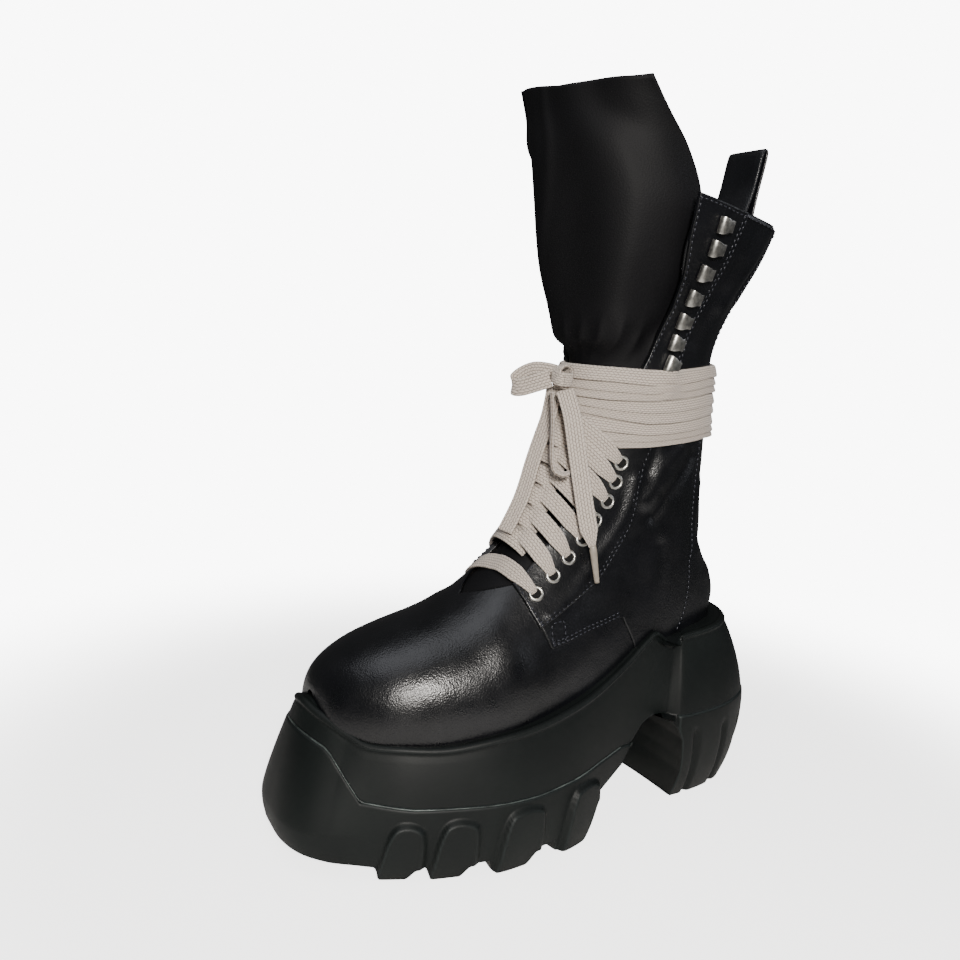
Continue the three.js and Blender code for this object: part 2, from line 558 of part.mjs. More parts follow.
function makeHook(k, side) {
  const shape = new THREE.Shape(HOOK_SIDE_VIEW.map(([x, z]) => new THREE.Vector2(x, z)));
  const bar = new THREE.ExtrudeGeometry(shape, { depth: HOOK_WIDE, bevelEnabled: false });
  bar.translate(0, 0, -HOOK_WIDE / 2).rotateX(Math.PI / 2);
  const turn = lineTurn(HOOK_TURN, k, HOOKS, side);
  const t = HOOK_FIRST + HOOK_STEP * k - HOOK_CLOSING * k * k;
  return bodyOf(bar.applyMatrix4(standing(t, turn, HOOK_LIFT)));
}

// ---- laces ----
// A flat ribbon through points, each with the direction its flat side faces.
function ribbon(points, facings, wide, thick) {
  const rings = points.map((p, k) => {
    const [next, last] = [points[Math.min(k + 1, points.length - 1)], points[Math.max(k - 1, 0)]];
    const ahead = next.clone().sub(last).normalize();
    const across = facings[k].clone().cross(ahead).normalize();
    const out = ahead.clone().cross(across).multiplyScalar(thick / 2);
    across.multiplyScalar(wide / 2);
    const corner = (a, b) => p.clone().addScaledVector(across, a).addScaledVector(out, b);
    return [corner(-1, -1), corner(-1, 1), corner(1, 1), corner(1, -1)];
  });
  return loft(rings);
}

// From over an eyelet, across the throat and under the far edge, a little higher: station and turn, with the
// lift off the form at the eyelet, in the middle and at the far edge.
function laceCrossing(k, side, lifts) {
  const [points, facings] = [[], []];
  const start = [EYELET_FIRST + EYELET_STEP * k, lineTurn(EYELET_TURN, k, EYELETS, side)];
  const end = [start[0] + EYELET_STEP * LACE_RISE, -side * THROAT_TURN];
  for (let i = 0; i <= LACE_STEPS; i++) {
    const share = i / LACE_STEPS;
    const [t, turn] = [0, 1].map((axis) => start[axis] + (end[axis] - start[axis]) * (0.04 + 0.96 * share));
    const lift = share < 0.5 ? lifts[0] + (lifts[1] - lifts[0]) * 2 * share
      : lifts[1] + (lifts[2] - lifts[1]) * (2 * share - 1);
    points.push(formPoint(t, turn).addScaledVector(formNormal(t, turn), lift));
    facings.push(formNormal(t, turn));
  }
  return ribbon(points, facings, LACE_WIDE, LACE_THICK);
}

function makeCrossings() {
  const all = [];
  for (let k = 1; k < EYELETS; k++) {
    all.push(laceCrossing(k, -1, CROSSING_LIFT.inner), laceCrossing(k, 1, CROSSING_LIFT.outer));
  }
  const top = WRAP_LOW - 3 * GAP;
  const rise = FAR * WRAP_RISE[0];
  const above = acrossX([[-FAR, top - rise], [FAR, top + rise], [FAR, FAR], [-FAR, FAR]]);
  return joined(all).subtract(above);
}

// The lowest lace lies straight across, from eyelet to eyelet.
function makeLaceBar() {
  const [points, facings] = [[], []];
  for (let i = 0; i <= 2 * LACE_STEPS; i++) {
    const [inner, outer] = [EYELET_TURN[-1][0] * 0.98, EYELET_TURN[1][0] * 0.98];
    const turn = -inner + ((inner + outer) * i) / (2 * LACE_STEPS);
    const t = EYELET_FIRST - 0.05 - BAR_SLANT * (1 - i / (2 * LACE_STEPS));
    points.push(formPoint(t, turn).addScaledVector(formNormal(t, turn), BAR_LIFT));
    facings.push(formNormal(t, turn));
  }
  return ribbon(points, facings, LACE_WIDE, LACE_THICK);
}

function makeWrap() {
  const band = formBody(WRAP_OUTER).subtract(formBody(WRAP_INNER));
  const [low, high] = WRAP_RISE.map((slope) => slope * FAR);
  const slab = acrossX([[-FAR, WRAP_LOW - low], [FAR, WRAP_LOW + low], [FAR, WRAP_HIGH + high],
    [-FAR, WRAP_HIGH - high]]);
  const notch = new THREE.BoxGeometry(HOOK_WIDE * 2, HOOK_WIDE + 2, HOOK_WIDE + 2);
  const notches = [1, -1].map((side) => {
    const place = standing(HOOK_FIRST, lineTurn(HOOK_TURN, 0, HOOKS, side), WRAP_INNER);
    return bodyOf(notch.clone().applyMatrix4(place));
  });
  const ring = band.intersect(slab).subtract(joined(notches));
  return ring.subtract(zipStrip(ZIP_WIDE + 2 * GAP, WRAP_INNER / 2, 5 * ZIP_THICK));
}

// Cord routes by hand: points, and the direction each flat lace's width lies in.
const KNOT = { at: [9.5, -6.5, 267], size: [6.5, 4.5, 6] };
const CORDS = {
  lace_end: {
    width: [0.53, 0.85, 0],
    route: [[12.5, -6.5, 260], [16.5, -6, 253], [20.5, -5.5, 245], [26.5, -5, 227.5], [31.5, -3.5, 209],
      [36, -1.5, 190.5], [38.8, 1, 177], [39.5, 2, 172.5]],
  },
  lace_bow: {
    width: [0, 0, 1],
    route: [[2.5, -6, 268.5], [-2, -9.5, 269.5], [-7.7, -14.5, 269.5], [-12.5, -19, 266.5],
      [-14.5, -23.5, 262], [-12.5, -26, 259.5], [-7, -24, 259.5], [0.5, -18, 263], [5.5, -12.5, 266]],
  },
  lace_long: {
    width: [0.9, 0.43, 0],
    route: [[2, -6.5, 261], [1.5, -6.8, 254], [1.4, -8.6, 243.5], [1.5, -11.9, 233.8], [1.9, -15.7, 223.6],
      [3.5, -19.7, 214.2], [5.7, -23.8, 204.7], [7.1, -28.1, 195], [7.6, -33, 185.6], [8, -38, 177]],
  },
  lace_loop: {
    width: [0.85, -0.52, 0],
    route: [[7.5, -12.5, 258], [9, -12.5, 250], [12, -13.5, 240], [15.5, -15.5, 229.5], [19, -17, 220],
      [22.5, -16.5, 214], [26, -13, 212.5], [28.5, -10, 214]],
  },
};
const AGLET = { from: [39.6, 2.2, 172.0], to: [41.8, 6, 151.5], radius: 1.7 };

function makeCord({ width, route }) {
  const curve = new THREE.CatmullRomCurve3(route.map((p) => new THREE.Vector3(...p)));
  const points = curve.getSpacedPoints(route.length * 2);
  const facings = points.map((p, k) => {
    const ahead = points[Math.min(k + 1, points.length - 1)].clone().sub(points[Math.max(k - 1, 0)]);
    return ahead.cross(new THREE.Vector3(...width)).normalize();
  });
  return ribbon(points, facings, LACE_WIDE, LACE_THICK);
}

function makeKnot() {
  const ball = new THREE.SphereGeometry(1, 10, 7).scale(...KNOT.size).translate(...KNOT.at);
  return bodyOf(ball);
}

function makeAglet() {
  const [from, to] = [new THREE.Vector3(...AGLET.from), new THREE.Vector3(...AGLET.to)];
  const tube = new THREE.CylinderGeometry(AGLET.radius, AGLET.radius * 0.85, from.distanceTo(to), 8);
  const ahead = from.clone().sub(to).normalize();
  tube.applyQuaternion(new THREE.Quaternion().setFromUnitVectors(new THREE.Vector3(0, 1, 0), ahead));
  return bodyOf(tube.translate(...from.lerp(to, 0.5).toArray()));
}

// ---- zip ----
const ZIP_LINE = [[12.15, -1.72], [13.2, -1.66], [14.4, -1.6], [15.6, -1.56], [16.8, -1.54], [18, -1.54],
  [19.2, -1.56], [20.4, -1.6], [21.2, -1.62]]; // station and turn, from the sole up to the slider
const ZIP_LIFT = 1.0;

function zipStrip(wide, lift, thick) {
  const facings = ZIP_LINE.map(([t, turn]) => formNormal(t, turn));
  const points = ZIP_LINE.map(([t, turn], k) => formPoint(t, turn).addScaledVector(facings[k], lift));
  return ribbon(points, facings, wide, thick);
}

function makeZip() {
  const teeth = zipStrip(ZIP_TEETH_WIDE, ZIP_LIFT + ZIP_THICK * 0.7, ZIP_THICK);
  return zipStrip(ZIP_WIDE, ZIP_LIFT, ZIP_THICK).add(teeth);
}

// The slider lies on the zip, the pull hangs upright from the bridge on it.
const SLIDER_SIZE = [9, 11, 2.2];
const SLIDER_LIFT = 3.7; // middle of the slider over the leather
const SLIDER_BACK = 0.35; // stations below the zip's top end
const BRIDGE = [[-3.6, 0.6], [-3.6, 3.4], [-2.4, 4.7], [2.4, 4.7], [3.6, 3.4], [3.6, 0.6], [2.2, 0.6],
  [2.2, 3.0], [1.6, 3.7], [-1.6, 3.7], [-2.2, 3.0], [-2.2, 0.6]]; // along the zip, out of the slider
const BRIDGE_WIDE = 2.4;
const PIN_LIFT = 2.4; // hinge line over the slider's middle
const PULL_OUTLINE = [[-3.2, 0.6], [3.2, 0.6], [3.7, -20], [2.4, -24], [-2.4, -24], [-3.7, -20]];
const PULL_EYE = [[-1.8, -0.6], [-1.8, -6.6], [1.8, -6.6], [1.8, -0.6]];
const PULL_THICK = 1.1;

// x across the zip, y up along it, z out of the leather; upright keeps y plumb.
function zipFrame(upright, lift) {
  const [t, turn] = ZIP_LINE[ZIP_LINE.length - 1];
  const out = formNormal(t - SLIDER_BACK, turn);
  const at = formPoint(t - SLIDER_BACK, turn).addScaledVector(out, SLIDER_LIFT + lift);
  const across = new THREE.Vector3(0, 0, 1).cross(out).normalize();
  const up = upright ? new THREE.Vector3(0, 0, 1) : out.clone().cross(across);
  return new THREE.Matrix4().makeBasis(across, up, across.clone().cross(up)).setPosition(at);
}

function plateOf(outline, holes, thick) {
  const points = (list) => list.map(([x, y]) => new THREE.Vector2(x, y));
  const shape = new THREE.Shape(points(outline));
  shape.holes = holes.map((hole) => new THREE.Path(points(hole)));
  return new THREE.ExtrudeGeometry(shape, { depth: thick, bevelEnabled: false }).translate(0, 0, -thick / 2);
}

function makeSlider() {
  const block = bodyOf(new THREE.BoxGeometry(...SLIDER_SIZE));
  const bridge = plateOf(BRIDGE, [], BRIDGE_WIDE).rotateX(Math.PI / 2).rotateZ(Math.PI / 2);
  return block.add(bodyOf(bridge)).transform(zipFrame(false, 0).elements);
}

function makePull() {
  const plate = plateOf(PULL_OUTLINE, [PULL_EYE], PULL_THICK);
  return bodyOf(plate).transform(zipFrame(true, PIN_LIFT).elements);
}

// ---- pull loop over the back of the collar ----
function makePullLoop() {
  const back = (z) => formPoint(Math.min(19 + (z - 283) / 30, STATION_LAST), Math.PI).y;
  const [low, edge, half] = [326, 362, LOOP_THICK / 2];
  const clear = LOOP_CLEAR + half;
  const outer = [[back(low) + clear, low], [back(344) + clear, 344], [back(edge) + clear, edge]];
  const inside = WALL + clear + LOOP_CLEAR;
  const inner = [[back(edge) - inside, edge - 2], [back(342) - inside, 342]];
  const crest = [[back(edge) + 6, 384], [back(edge) + 8.5, LOOP_TOP - 6], [back(edge) + 6, LOOP_TOP - half],
    [back(edge) + 2, LOOP_TOP - 6], [back(edge) - 2.5, 386]];
  const route = [...outer, ...crest, ...inner];
  const line = new THREE.CatmullRomCurve3(route.map(([y, z]) => new THREE.Vector3(LOOP_X, y, z)));
  const points = line.getSpacedPoints(LOOP_STEPS);
  const facings = points.map((p, k) => {
    const ahead = points[Math.min(k + 1, LOOP_STEPS)].clone().sub(points[Math.max(k - 1, 0)]);
    return new THREE.Vector3(1, 0, 0).cross(ahead);
  });
  return ribbon(points, facings, LOOP_WIDE, LOOP_THICK);
}

// ---- the boot ----
const boot = new THREE.Group();
boot.name = "platform_boot";

// The body without the crumbs a cut can leave.
const largest = (body) => body.decompose().reduce((a, b) => (b.volume() > a.volume() ? b : a));

function addPiece(name, body, material) {
  const piece = new THREE.Mesh(geometryOf(largest(body)), material);
  piece.name = name;
  piece.position.set(CENTRE_X, CENTRE_Y, 0);
  boot.add(piece);
}

const sole = makeSole();
addPiece("midsole", sole.midsole, rubber);
addPiece("outsole", sole.outsole, rubber);
addPiece("heel", sole.heel, rubber);
addPiece("upper", makeUpper(), leather);
addPiece("insole", makeInsole(), lining);
addPiece("tongue", makeTongue(), leather);
for (let k = 0; k < EYELETS; k++) {
  addPiece(`eyelet_outer_${k + 1}`, makeEyelet(k, 1), nickel);
  addPiece(`eyelet_inner_${k + 1}`, makeEyelet(k, -1), nickel);
}
for (let k = 0; k < HOOKS; k++) {
  addPiece(`hook_outer_${k + 1}`, makeHook(k, 1), nickel);
  addPiece(`hook_inner_${k + 1}`, makeHook(k, -1), nickel);
}
addPiece("pull_loop", makePullLoop(), leather);
addPiece("lace_bar", makeLaceBar(), cotton);
addPiece("lace_crossings", makeCrossings(), cotton);
addPiece("lace_wrap", makeWrap(), cotton);
addPiece("lace_knot", makeKnot(), cotton);
for (const [name, cord] of Object.entries(CORDS)) addPiece(name, makeCord(cord), cotton);
addPiece("aglet", makeAglet(), nickel);
addPiece("zip", makeZip(), tape);
addPiece("zip_slider", makeSlider(), nickel);
addPiece("zip_pull", makePull(), nickel);

export default boot;
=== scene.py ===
import math

import bmesh
import bpy
import numpy as np
from mathutils import Matrix, Vector


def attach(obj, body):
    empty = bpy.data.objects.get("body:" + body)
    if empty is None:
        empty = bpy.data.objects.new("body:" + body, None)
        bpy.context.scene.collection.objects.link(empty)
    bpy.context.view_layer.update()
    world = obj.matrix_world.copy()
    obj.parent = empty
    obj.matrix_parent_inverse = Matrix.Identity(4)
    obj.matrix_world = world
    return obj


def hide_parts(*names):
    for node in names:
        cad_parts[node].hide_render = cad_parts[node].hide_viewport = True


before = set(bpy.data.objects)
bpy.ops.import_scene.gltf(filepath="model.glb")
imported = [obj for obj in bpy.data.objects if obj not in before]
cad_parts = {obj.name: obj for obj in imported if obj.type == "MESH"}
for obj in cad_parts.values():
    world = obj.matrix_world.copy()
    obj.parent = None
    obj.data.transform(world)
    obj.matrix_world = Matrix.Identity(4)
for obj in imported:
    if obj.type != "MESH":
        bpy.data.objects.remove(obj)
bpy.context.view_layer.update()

# ---- Studio ----
# The boot stands alone on a plain pale floor that fades into a white room. A small warm key, a broad top
# light and a low rear light draw the sheen on the toe cap and the dull edges of the rubber.
MM = 0.001


def linear(hex_colour):
    channels = [int(hex_colour[i:i + 2], 16) / 255 for i in (1, 3, 5)]
    return (*[c / 12.92 if c <= 0.04045 else ((c + 0.055) / 1.055) ** 2.4 for c in channels], 1.0)


def add(tree, kind, put=None, **settings):
    """A shader node, with its inputs set to values or linked to other nodes' outputs."""
    made = tree.nodes.new("ShaderNode" + kind)
    for key, value in settings.items():
        setattr(made, key, value)
    for key, value in (put or {}).items():
        if isinstance(value, bpy.types.NodeSocket):
            tree.links.new(value, made.inputs[key])
        else:
            made.inputs[key].default_value = value
    return made


def new_material(name, **shader):
    material = bpy.data.materials.new(name)
    material.use_nodes = True
    tree = material.node_tree
    surface = tree.nodes["Principled BSDF"]
    for key, value in shader.items():
        surface.inputs[key.replace("_", " ")].default_value = value
    return material, tree, surface


def maths(tree, operation, *values, **settings):
    return add(tree, "Math", dict(enumerate(values)), operation=operation, **settings).outputs[0]


def object_noise(tree, scale, detail=2.0):
    place = add(tree, "TexCoord").outputs["Object"]
    return add(tree, "TexNoise", {"Vector": place, "Scale": scale, "Detail": detail}).outputs[0]


def two_tone(tree, surface, value, dark, light, low=0.0, high=1.0):
    """Base colour from dark to light as the value goes from low to high."""
    ramp = add(tree, "ValToRGB", {0: value})
    for stop, position, colour in zip(ramp.color_ramp.elements, (low, high), (dark, light)):
        stop.position, stop.color = position, linear(colour)
    tree.links.new(ramp.outputs[0], surface.inputs["Base Color"])
    return ramp.outputs[0]


def dulled(tree, surface, value, least, most, low=0.0, high=1.0):
    span = {"From Min": low, "From Max": high, "To Min": least, "To Max": most}
    tree.links.new(add(tree, "MapRange", {"Value": value, **span}).outputs[0], surface.inputs["Roughness"])


def embossed(tree, surface, height, strength, distance, under=None):
    """Bump of a height in metres, over another bump if one is given."""
    put = {"Strength": strength, "Distance": distance, "Height": height}
    bump = add(tree, "Bump", {**put, "Normal": under} if under else put)
    tree.links.new(bump.outputs[0], surface.inputs["Normal"])
    return bump.outputs[0]


def aim(thing, target):
    thing.rotation_euler = (Vector(target) - thing.location).to_track_quat("-Z", "Y").to_euler()


CAMERA_AT = (0.44751, -0.32476, 0.2932)
CAMERA_TURN, CAMERA_TILT, CAMERA_ROLL = map(math.radians, (58.25, 9.38, 3.84))
CAMERA_SENSOR, CAMERA_LENS = 36, 34.88
lens = bpy.data.cameras.new("studio_camera")
lens.sensor_width, lens.lens = CAMERA_SENSOR, CAMERA_LENS
camera = bpy.data.objects.new("studio_camera", lens)
turned = Matrix.Rotation(CAMERA_TURN, 4, "Z") @ Matrix.Rotation(math.pi / 2 - CAMERA_TILT, 4, "X")
camera.matrix_world = Matrix.Translation(CAMERA_AT) @ turned @ Matrix.Rotation(CAMERA_ROLL, 4, "Z")
bpy.context.scene.collection.objects.link(camera)
bpy.context.scene.camera = camera

for name, at, target, size, watts, colour in (
    ("key_light", (0.95, -0.5, 0.62), (0.02, -0.02, 0.15), 0.2, 19, "#fffaf4"),
    ("top_light", (-0.1, -0.5, 1.6), (0.0, -0.05, 0.1), 1.1, 7, "#f6f8ff"),
    ("rear_light", (0.9, 1.3, 0.9), (0.0, 0.05, 0.15), 0.6, 3, "#f2f6ff"),
):
    light = bpy.data.lights.new(name, "AREA")
    light.size, light.energy, light.color = size, watts, linear(colour)[:3]
    stand = bpy.data.objects.new(name, light)
    stand.location = at
    bpy.context.scene.collection.objects.link(stand)
    aim(stand, target)

AIR_LIGHT, AIR_SEEN = 0.07, 9.0  # strength on the boot, and behind it
world = bpy.data.worlds.new("studio_air")
bpy.context.scene.world = world
world.use_nodes = True
air = world.node_tree.nodes["Background"]
air.inputs["Color"].default_value = linear("#ffffff")
in_view = add(world.node_tree, "LightPath").outputs["Is Camera Ray"]
strength = add(world.node_tree, "MapRange", {"Value": in_view, "To Min": AIR_LIGHT, "To Max": AIR_SEEN})
world.node_tree.links.new(strength.outputs[0], air.inputs["Strength"])

# Matt painted board: no gloss, so the sole's shadow stays soft; past a radius it fades into the room.
BOARD_GLOW, FADE_FROM, FADE_TO, FLOOR_HALF = 2.6, 0.24, 0.62, 6
board, tree, surface = new_material("floor_board", Roughness=0.95, Specular_IOR_Level=0.1,
                                    Base_Color=linear("#f4f3f1"), Emission_Color=linear("#ffffff"))
in_view = add(tree, "LightPath").outputs["Is Camera Ray"]
glow = add(tree, "MapRange", {"Value": in_view, "To Max": BOARD_GLOW})
tree.links.new(glow.outputs[0], surface.inputs["Emission Strength"])
away = add(tree, "VectorMath", {0: add(tree, "TexCoord").outputs["Object"]}, operation="LENGTH")
fade = add(tree, "MapRange", {"Value": away.outputs["Value"], "From Min": FADE_FROM, "From Max": FADE_TO,
                              "To Min": 1.0, "To Max": 0.0}, interpolation_type="SMOOTHERSTEP")
tree.links.new(fade.outputs[0], surface.inputs["Alpha"])
floor_shape = bmesh.new()
bmesh.ops.create_grid(floor_shape, x_segments=1, y_segments=1, size=FLOOR_HALF)
floor_mesh = bpy.data.meshes.new("floor")
floor_shape.to_mesh(floor_mesh)
floor_mesh.materials.append(board)
floor = bpy.data.objects.new("floor", floor_mesh)
bpy.context.scene.collection.objects.link(floor)

# ---- Hanging laces ----
# A flat tubular cotton lace, braided 10.5 mm wide, tied in front of the ankle: one bow loop, one long
# strand down the tongue, a small turned-back loop and an end with its rolled aglet. They hang limp.
ROW = np.array([-0.29, 4.54, 0.0])
LACE_WIDE, LACE_THICK = 10.5, 2.2
BRAID_RIBS, BRAID_STEP = 6, 1.2


def in_row(points):
    return (np.asarray(points, float) + ROW) * MM


def read_table(table, t, closed=False):
    """A smooth curve through a table's rows, read at row numbers with fractions."""
    rows, t = np.array(table, float), np.asarray(t, float)
    last = len(rows)
    k = np.floor(t).astype(int) if closed else np.clip(np.floor(t).astype(int), 0, last - 2)
    a, b, c, d = (rows[(k + j) % last if closed else np.clip(k + j, 0, last - 1)] for j in (-1, 0, 1, 2))
    f = (t - k)[..., None]
    p, q = (c - a) / 2, (d - b) / 2
    return b + f * (p + f * (3 * (c - b) - 2 * p - q + f * (2 * (b - c) + p + q)))


def lengths(line):
    """How far along the line each of its points lies."""
    return np.concatenate([[0], np.cumsum(np.linalg.norm(np.diff(line, axis=0), axis=1))])


def along(values, run, stops):
    """Every column of values, known at the lengths run, read at the stops."""
    return np.stack([np.interp(stops, run, column) for column in np.asarray(values).T], -1)


def even_line(route, step, closed=False):
    ends = len(route) if closed else len(route) - 1
    fine = read_table(route, np.linspace(0, ends, 40 * ends + 1), closed)
    run = lengths(fine)
    return along(fine, run, np.linspace(0, run[-1], max(int(run[-1] / step), 4) + 1))


def unit(vectors):
    return vectors / np.maximum(np.linalg.norm(vectors, axis=-1, keepdims=True), 1e-12)


def skin(name, points, across=None, merge=False, ends=False, flip=False):
    """A grid of points, rows by columns, as a smooth mesh in the row frame with its UV in millimetres."""
    rows, cols = points.shape[:2]
    down = lengths(points[:, cols // 2])
    across = lengths(points[rows // 2]) if across is None else across
    shape = bmesh.new()
    bmesh.ops.create_grid(shape, x_segments=rows - 1, y_segments=cols - 1, size=1)
    spots = {}
    for vert in shape.verts:
        i, j = round((vert.co.x + 1) / 2 * (rows - 1)), round((vert.co.y + 1) / 2 * (cols - 1))
        spots[vert] = (down[i], across[j])
        vert.co = in_row(points[i, j])
    uv = shape.loops.layers.uv.new("UVMap")
    for face in shape.faces:
        for loop in face.loops:
            loop[uv].uv = spots[loop.vert]
    if merge:
        bmesh.ops.remove_doubles(shape, verts=shape.verts[:], dist=1e-5)
    if ends:
        bmesh.ops.holes_fill(shape, edges=[e for e in shape.edges if e.is_boundary], sides=0)
    if merge and ends:
        bmesh.ops.recalc_face_normals(shape, faces=shape.faces[:])
    elif flip:
        bmesh.ops.reverse_faces(shape, faces=shape.faces[:])
    return piece_of(name, shape)


def piece_of(name, shape, smooth=True):
    mesh = bpy.data.meshes.new(name)
    shape.to_mesh(mesh)
    shape.free()
    mesh.polygons.foreach_set("use_smooth", [smooth] * len(mesh.polygons))
    piece = bpy.data.objects.new(name, mesh)
    bpy.context.scene.collection.objects.link(piece)
    return piece


def finish(piece, material, body="boot", nodes=()):
    piece.data.materials.clear()
    piece.data.materials.append(material)
    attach(piece, body)
    if nodes:
        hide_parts(*nodes)
    return piece


def braid_section(points, thick, dip):
    """Share across and height of a ribbed lace's section, over the top and back along the underside."""
    share = np.sin(np.linspace(-np.pi / 2, np.pi / 2, points))
    edge = np.clip(1 - np.abs(share) ** 5, 0, 1) ** 0.5
    high = thick / 2 * edge * (1 - dip + dip * np.abs(np.sin(np.pi * BRAID_RIBS / 2 * (share + 1))))
    return np.concatenate([share, share[-2::-1]]), np.concatenate([high, -high[-2::-1]])


def lace(name, line, width, wide=LACE_WIDE, thick=LACE_THICK, cup=0.0, ends=True):
    """A flat ribbed lace along a line; width is the direction that its flat side runs across."""
    ahead = unit(np.gradient(line, axis=0))
    out = unit(np.cross(ahead, np.broadcast_to(width, line.shape)))
    side = np.cross(out, ahead)
    x, z = braid_section(27, thick, 0.16)
    half = np.broadcast_to(wide, (len(line),))[:, None, None] / 2
    rings = line[:, None] + side[:, None] * x[None, :, None] * half
    rings = rings + out[:, None] * (z - cup * (1 - x ** 2))[None, :, None]
    return skin(name, rings, (x + 1) / 2 * LACE_WIDE, merge=True, ends=ends)


# Unbleached cotton braid: warm grey beige, dull, each rib a row of slanting yarns that turn at the next.
cotton, tree, surface = new_material("braided_cotton", Roughness=0.92, Sheen_Weight=0.25, Sheen_Roughness=0.5,
                                     Specular_IOR_Level=0.25)
spot = add(tree, "SeparateXYZ", {0: add(tree, "UVMap").outputs[0]})
rib = maths(tree, "MULTIPLY", spot.outputs["Y"], BRAID_RIBS / LACE_WIDE)
in_rib = maths(tree, "FRACT", rib)
lean = maths(tree, "GREATER_THAN", maths(tree, "MODULO", rib, 2.0), 1.0)
slant = maths(tree, "MULTIPLY", in_rib, maths(tree, "MULTIPLY_ADD", lean, 2.0, -1.0))
yarn = maths(tree, "MULTIPLY_ADD", spot.outputs["X"], 1 / BRAID_STEP, slant)
yarn = maths(tree, "POWER", maths(tree, "PINGPONG", yarn, 1.0), 0.5)
ridge = maths(tree, "MULTIPLY", maths(tree, "PINGPONG", in_rib, 0.5), 5.0, use_clamp=True)
weave = maths(tree, "MULTIPLY", yarn, ridge)
# Random tone, plus a colour that darkens into the grooves between ribs and yarns: painted shade.
tone_and_groove_shade = maths(tree, "MULTIPLY_ADD", object_noise(tree, 900.0, 3.0), 0.5, weave)
two_tone(tree, surface, tone_and_groove_shade, "#544a40", "#c6bbb0", 0.15, 0.88)
embossed(tree, surface, weave, 0.7, 0.0004)

HANGING_END = [[12.5, -6.5, 260], [16.5, -6, 253], [20.5, -5.5, 245], [26.5, -5, 227.5], [31.5, -3.5, 209],
               [36, -1.5, 190.5], [38.8, 1, 177], [39.5, 2, 172.5]]
BOW = [[2.5, -6, 268.5], [-2, -9.5, 269.5], [-7.7, -14.5, 269.5], [-12.5, -19, 266.5], [-14.5, -23.5, 262],
       [-12.5, -26, 259.5], [-7, -24, 259.5], [0.5, -18, 263], [5.5, -12.5, 266]]
LONG_STRAND = [[2, -6.5, 261], [1.5, -6.8, 254], [1.4, -8.6, 243.5], [1.5, -11.9, 233.8], [1.9, -15.7, 223.6],
               [3.5, -19.7, 214.2], [5.7, -23.8, 204.7], [7.1, -28.1, 195], [7.6, -33, 185.6], [8, -38, 177]]
SMALL_LOOP = [[7.5, -12.5, 258], [9, -12.5, 250], [12, -13.5, 240], [15.5, -15.5, 229.5], [19, -17, 220],
              [22.5, -16.5, 214], [26, -13, 212.5], [28.5, -10, 214]]
AGLET_FROM, AGLET_TO = (39.6, 2.2, 173.5), (41.8, 6, 151.5)
AGLET_RADIUS = [1.6, 1.95, 1.35]  # where it grips the lace, past the grip, at the tip

aglet_line = even_line([AGLET_FROM, AGLET_TO], 1.5)
aglet_radius = np.interp(np.arange(len(aglet_line)), [0, 2, len(aglet_line) - 1], AGLET_RADIUS)
aglet_ahead = unit(np.array(AGLET_TO) - np.array(AGLET_FROM))
aglet_side = unit(np.cross(aglet_ahead, (0.53, 0.85, 0)))
turns = np.linspace(0, 2 * np.pi, 25)[:, None]
ring = np.cos(turns) * aglet_side * 0.85 + np.sin(turns) * np.cross(aglet_side, aglet_ahead) * 1.1
aglet = skin("aglet_tip", aglet_line[:, None] + ring * aglet_radius[:, None, None], merge=True, ends=True)
# Cellulose film rolled on the lace's end: the same beige under a smooth skin.
film, tree, surface = new_material("aglet_film", Roughness=0.32)
two_tone(tree, surface, object_noise(tree, 260.0), "#6f675d", "#aba295")
finish(aglet, film, nodes=["aglet"])

for name, node, route, width, far_end, narrow, carried, size in (
    ("hanging_end", "lace_end", HANGING_END, (0.53, 0.85, 0), "fitting", 10, [aglet], 10.5),
    ("bow_loop", "lace_bow", BOW, (0, 0, 1), "object", 0, [], 9),
    ("long_strand", "lace_long", LONG_STRAND, (0.9, 0.43, 0), "object", 0, [], 10.5),
    ("small_loop", "lace_loop", SMALL_LOOP, (0.85, -0.52, 0), "object", 0, [], 9),
):
    line = even_line(route, 1.0)
    run = lengths(line)
    left = run[-1] - run
    wide = LACE_WIDE * np.interp(left, [0, narrow], [0.36, 1]) if narrow else LACE_WIDE
    strand = lace(name, line, width, wide, cup=0.5)
    finish(strand, cotton, nodes=[node])

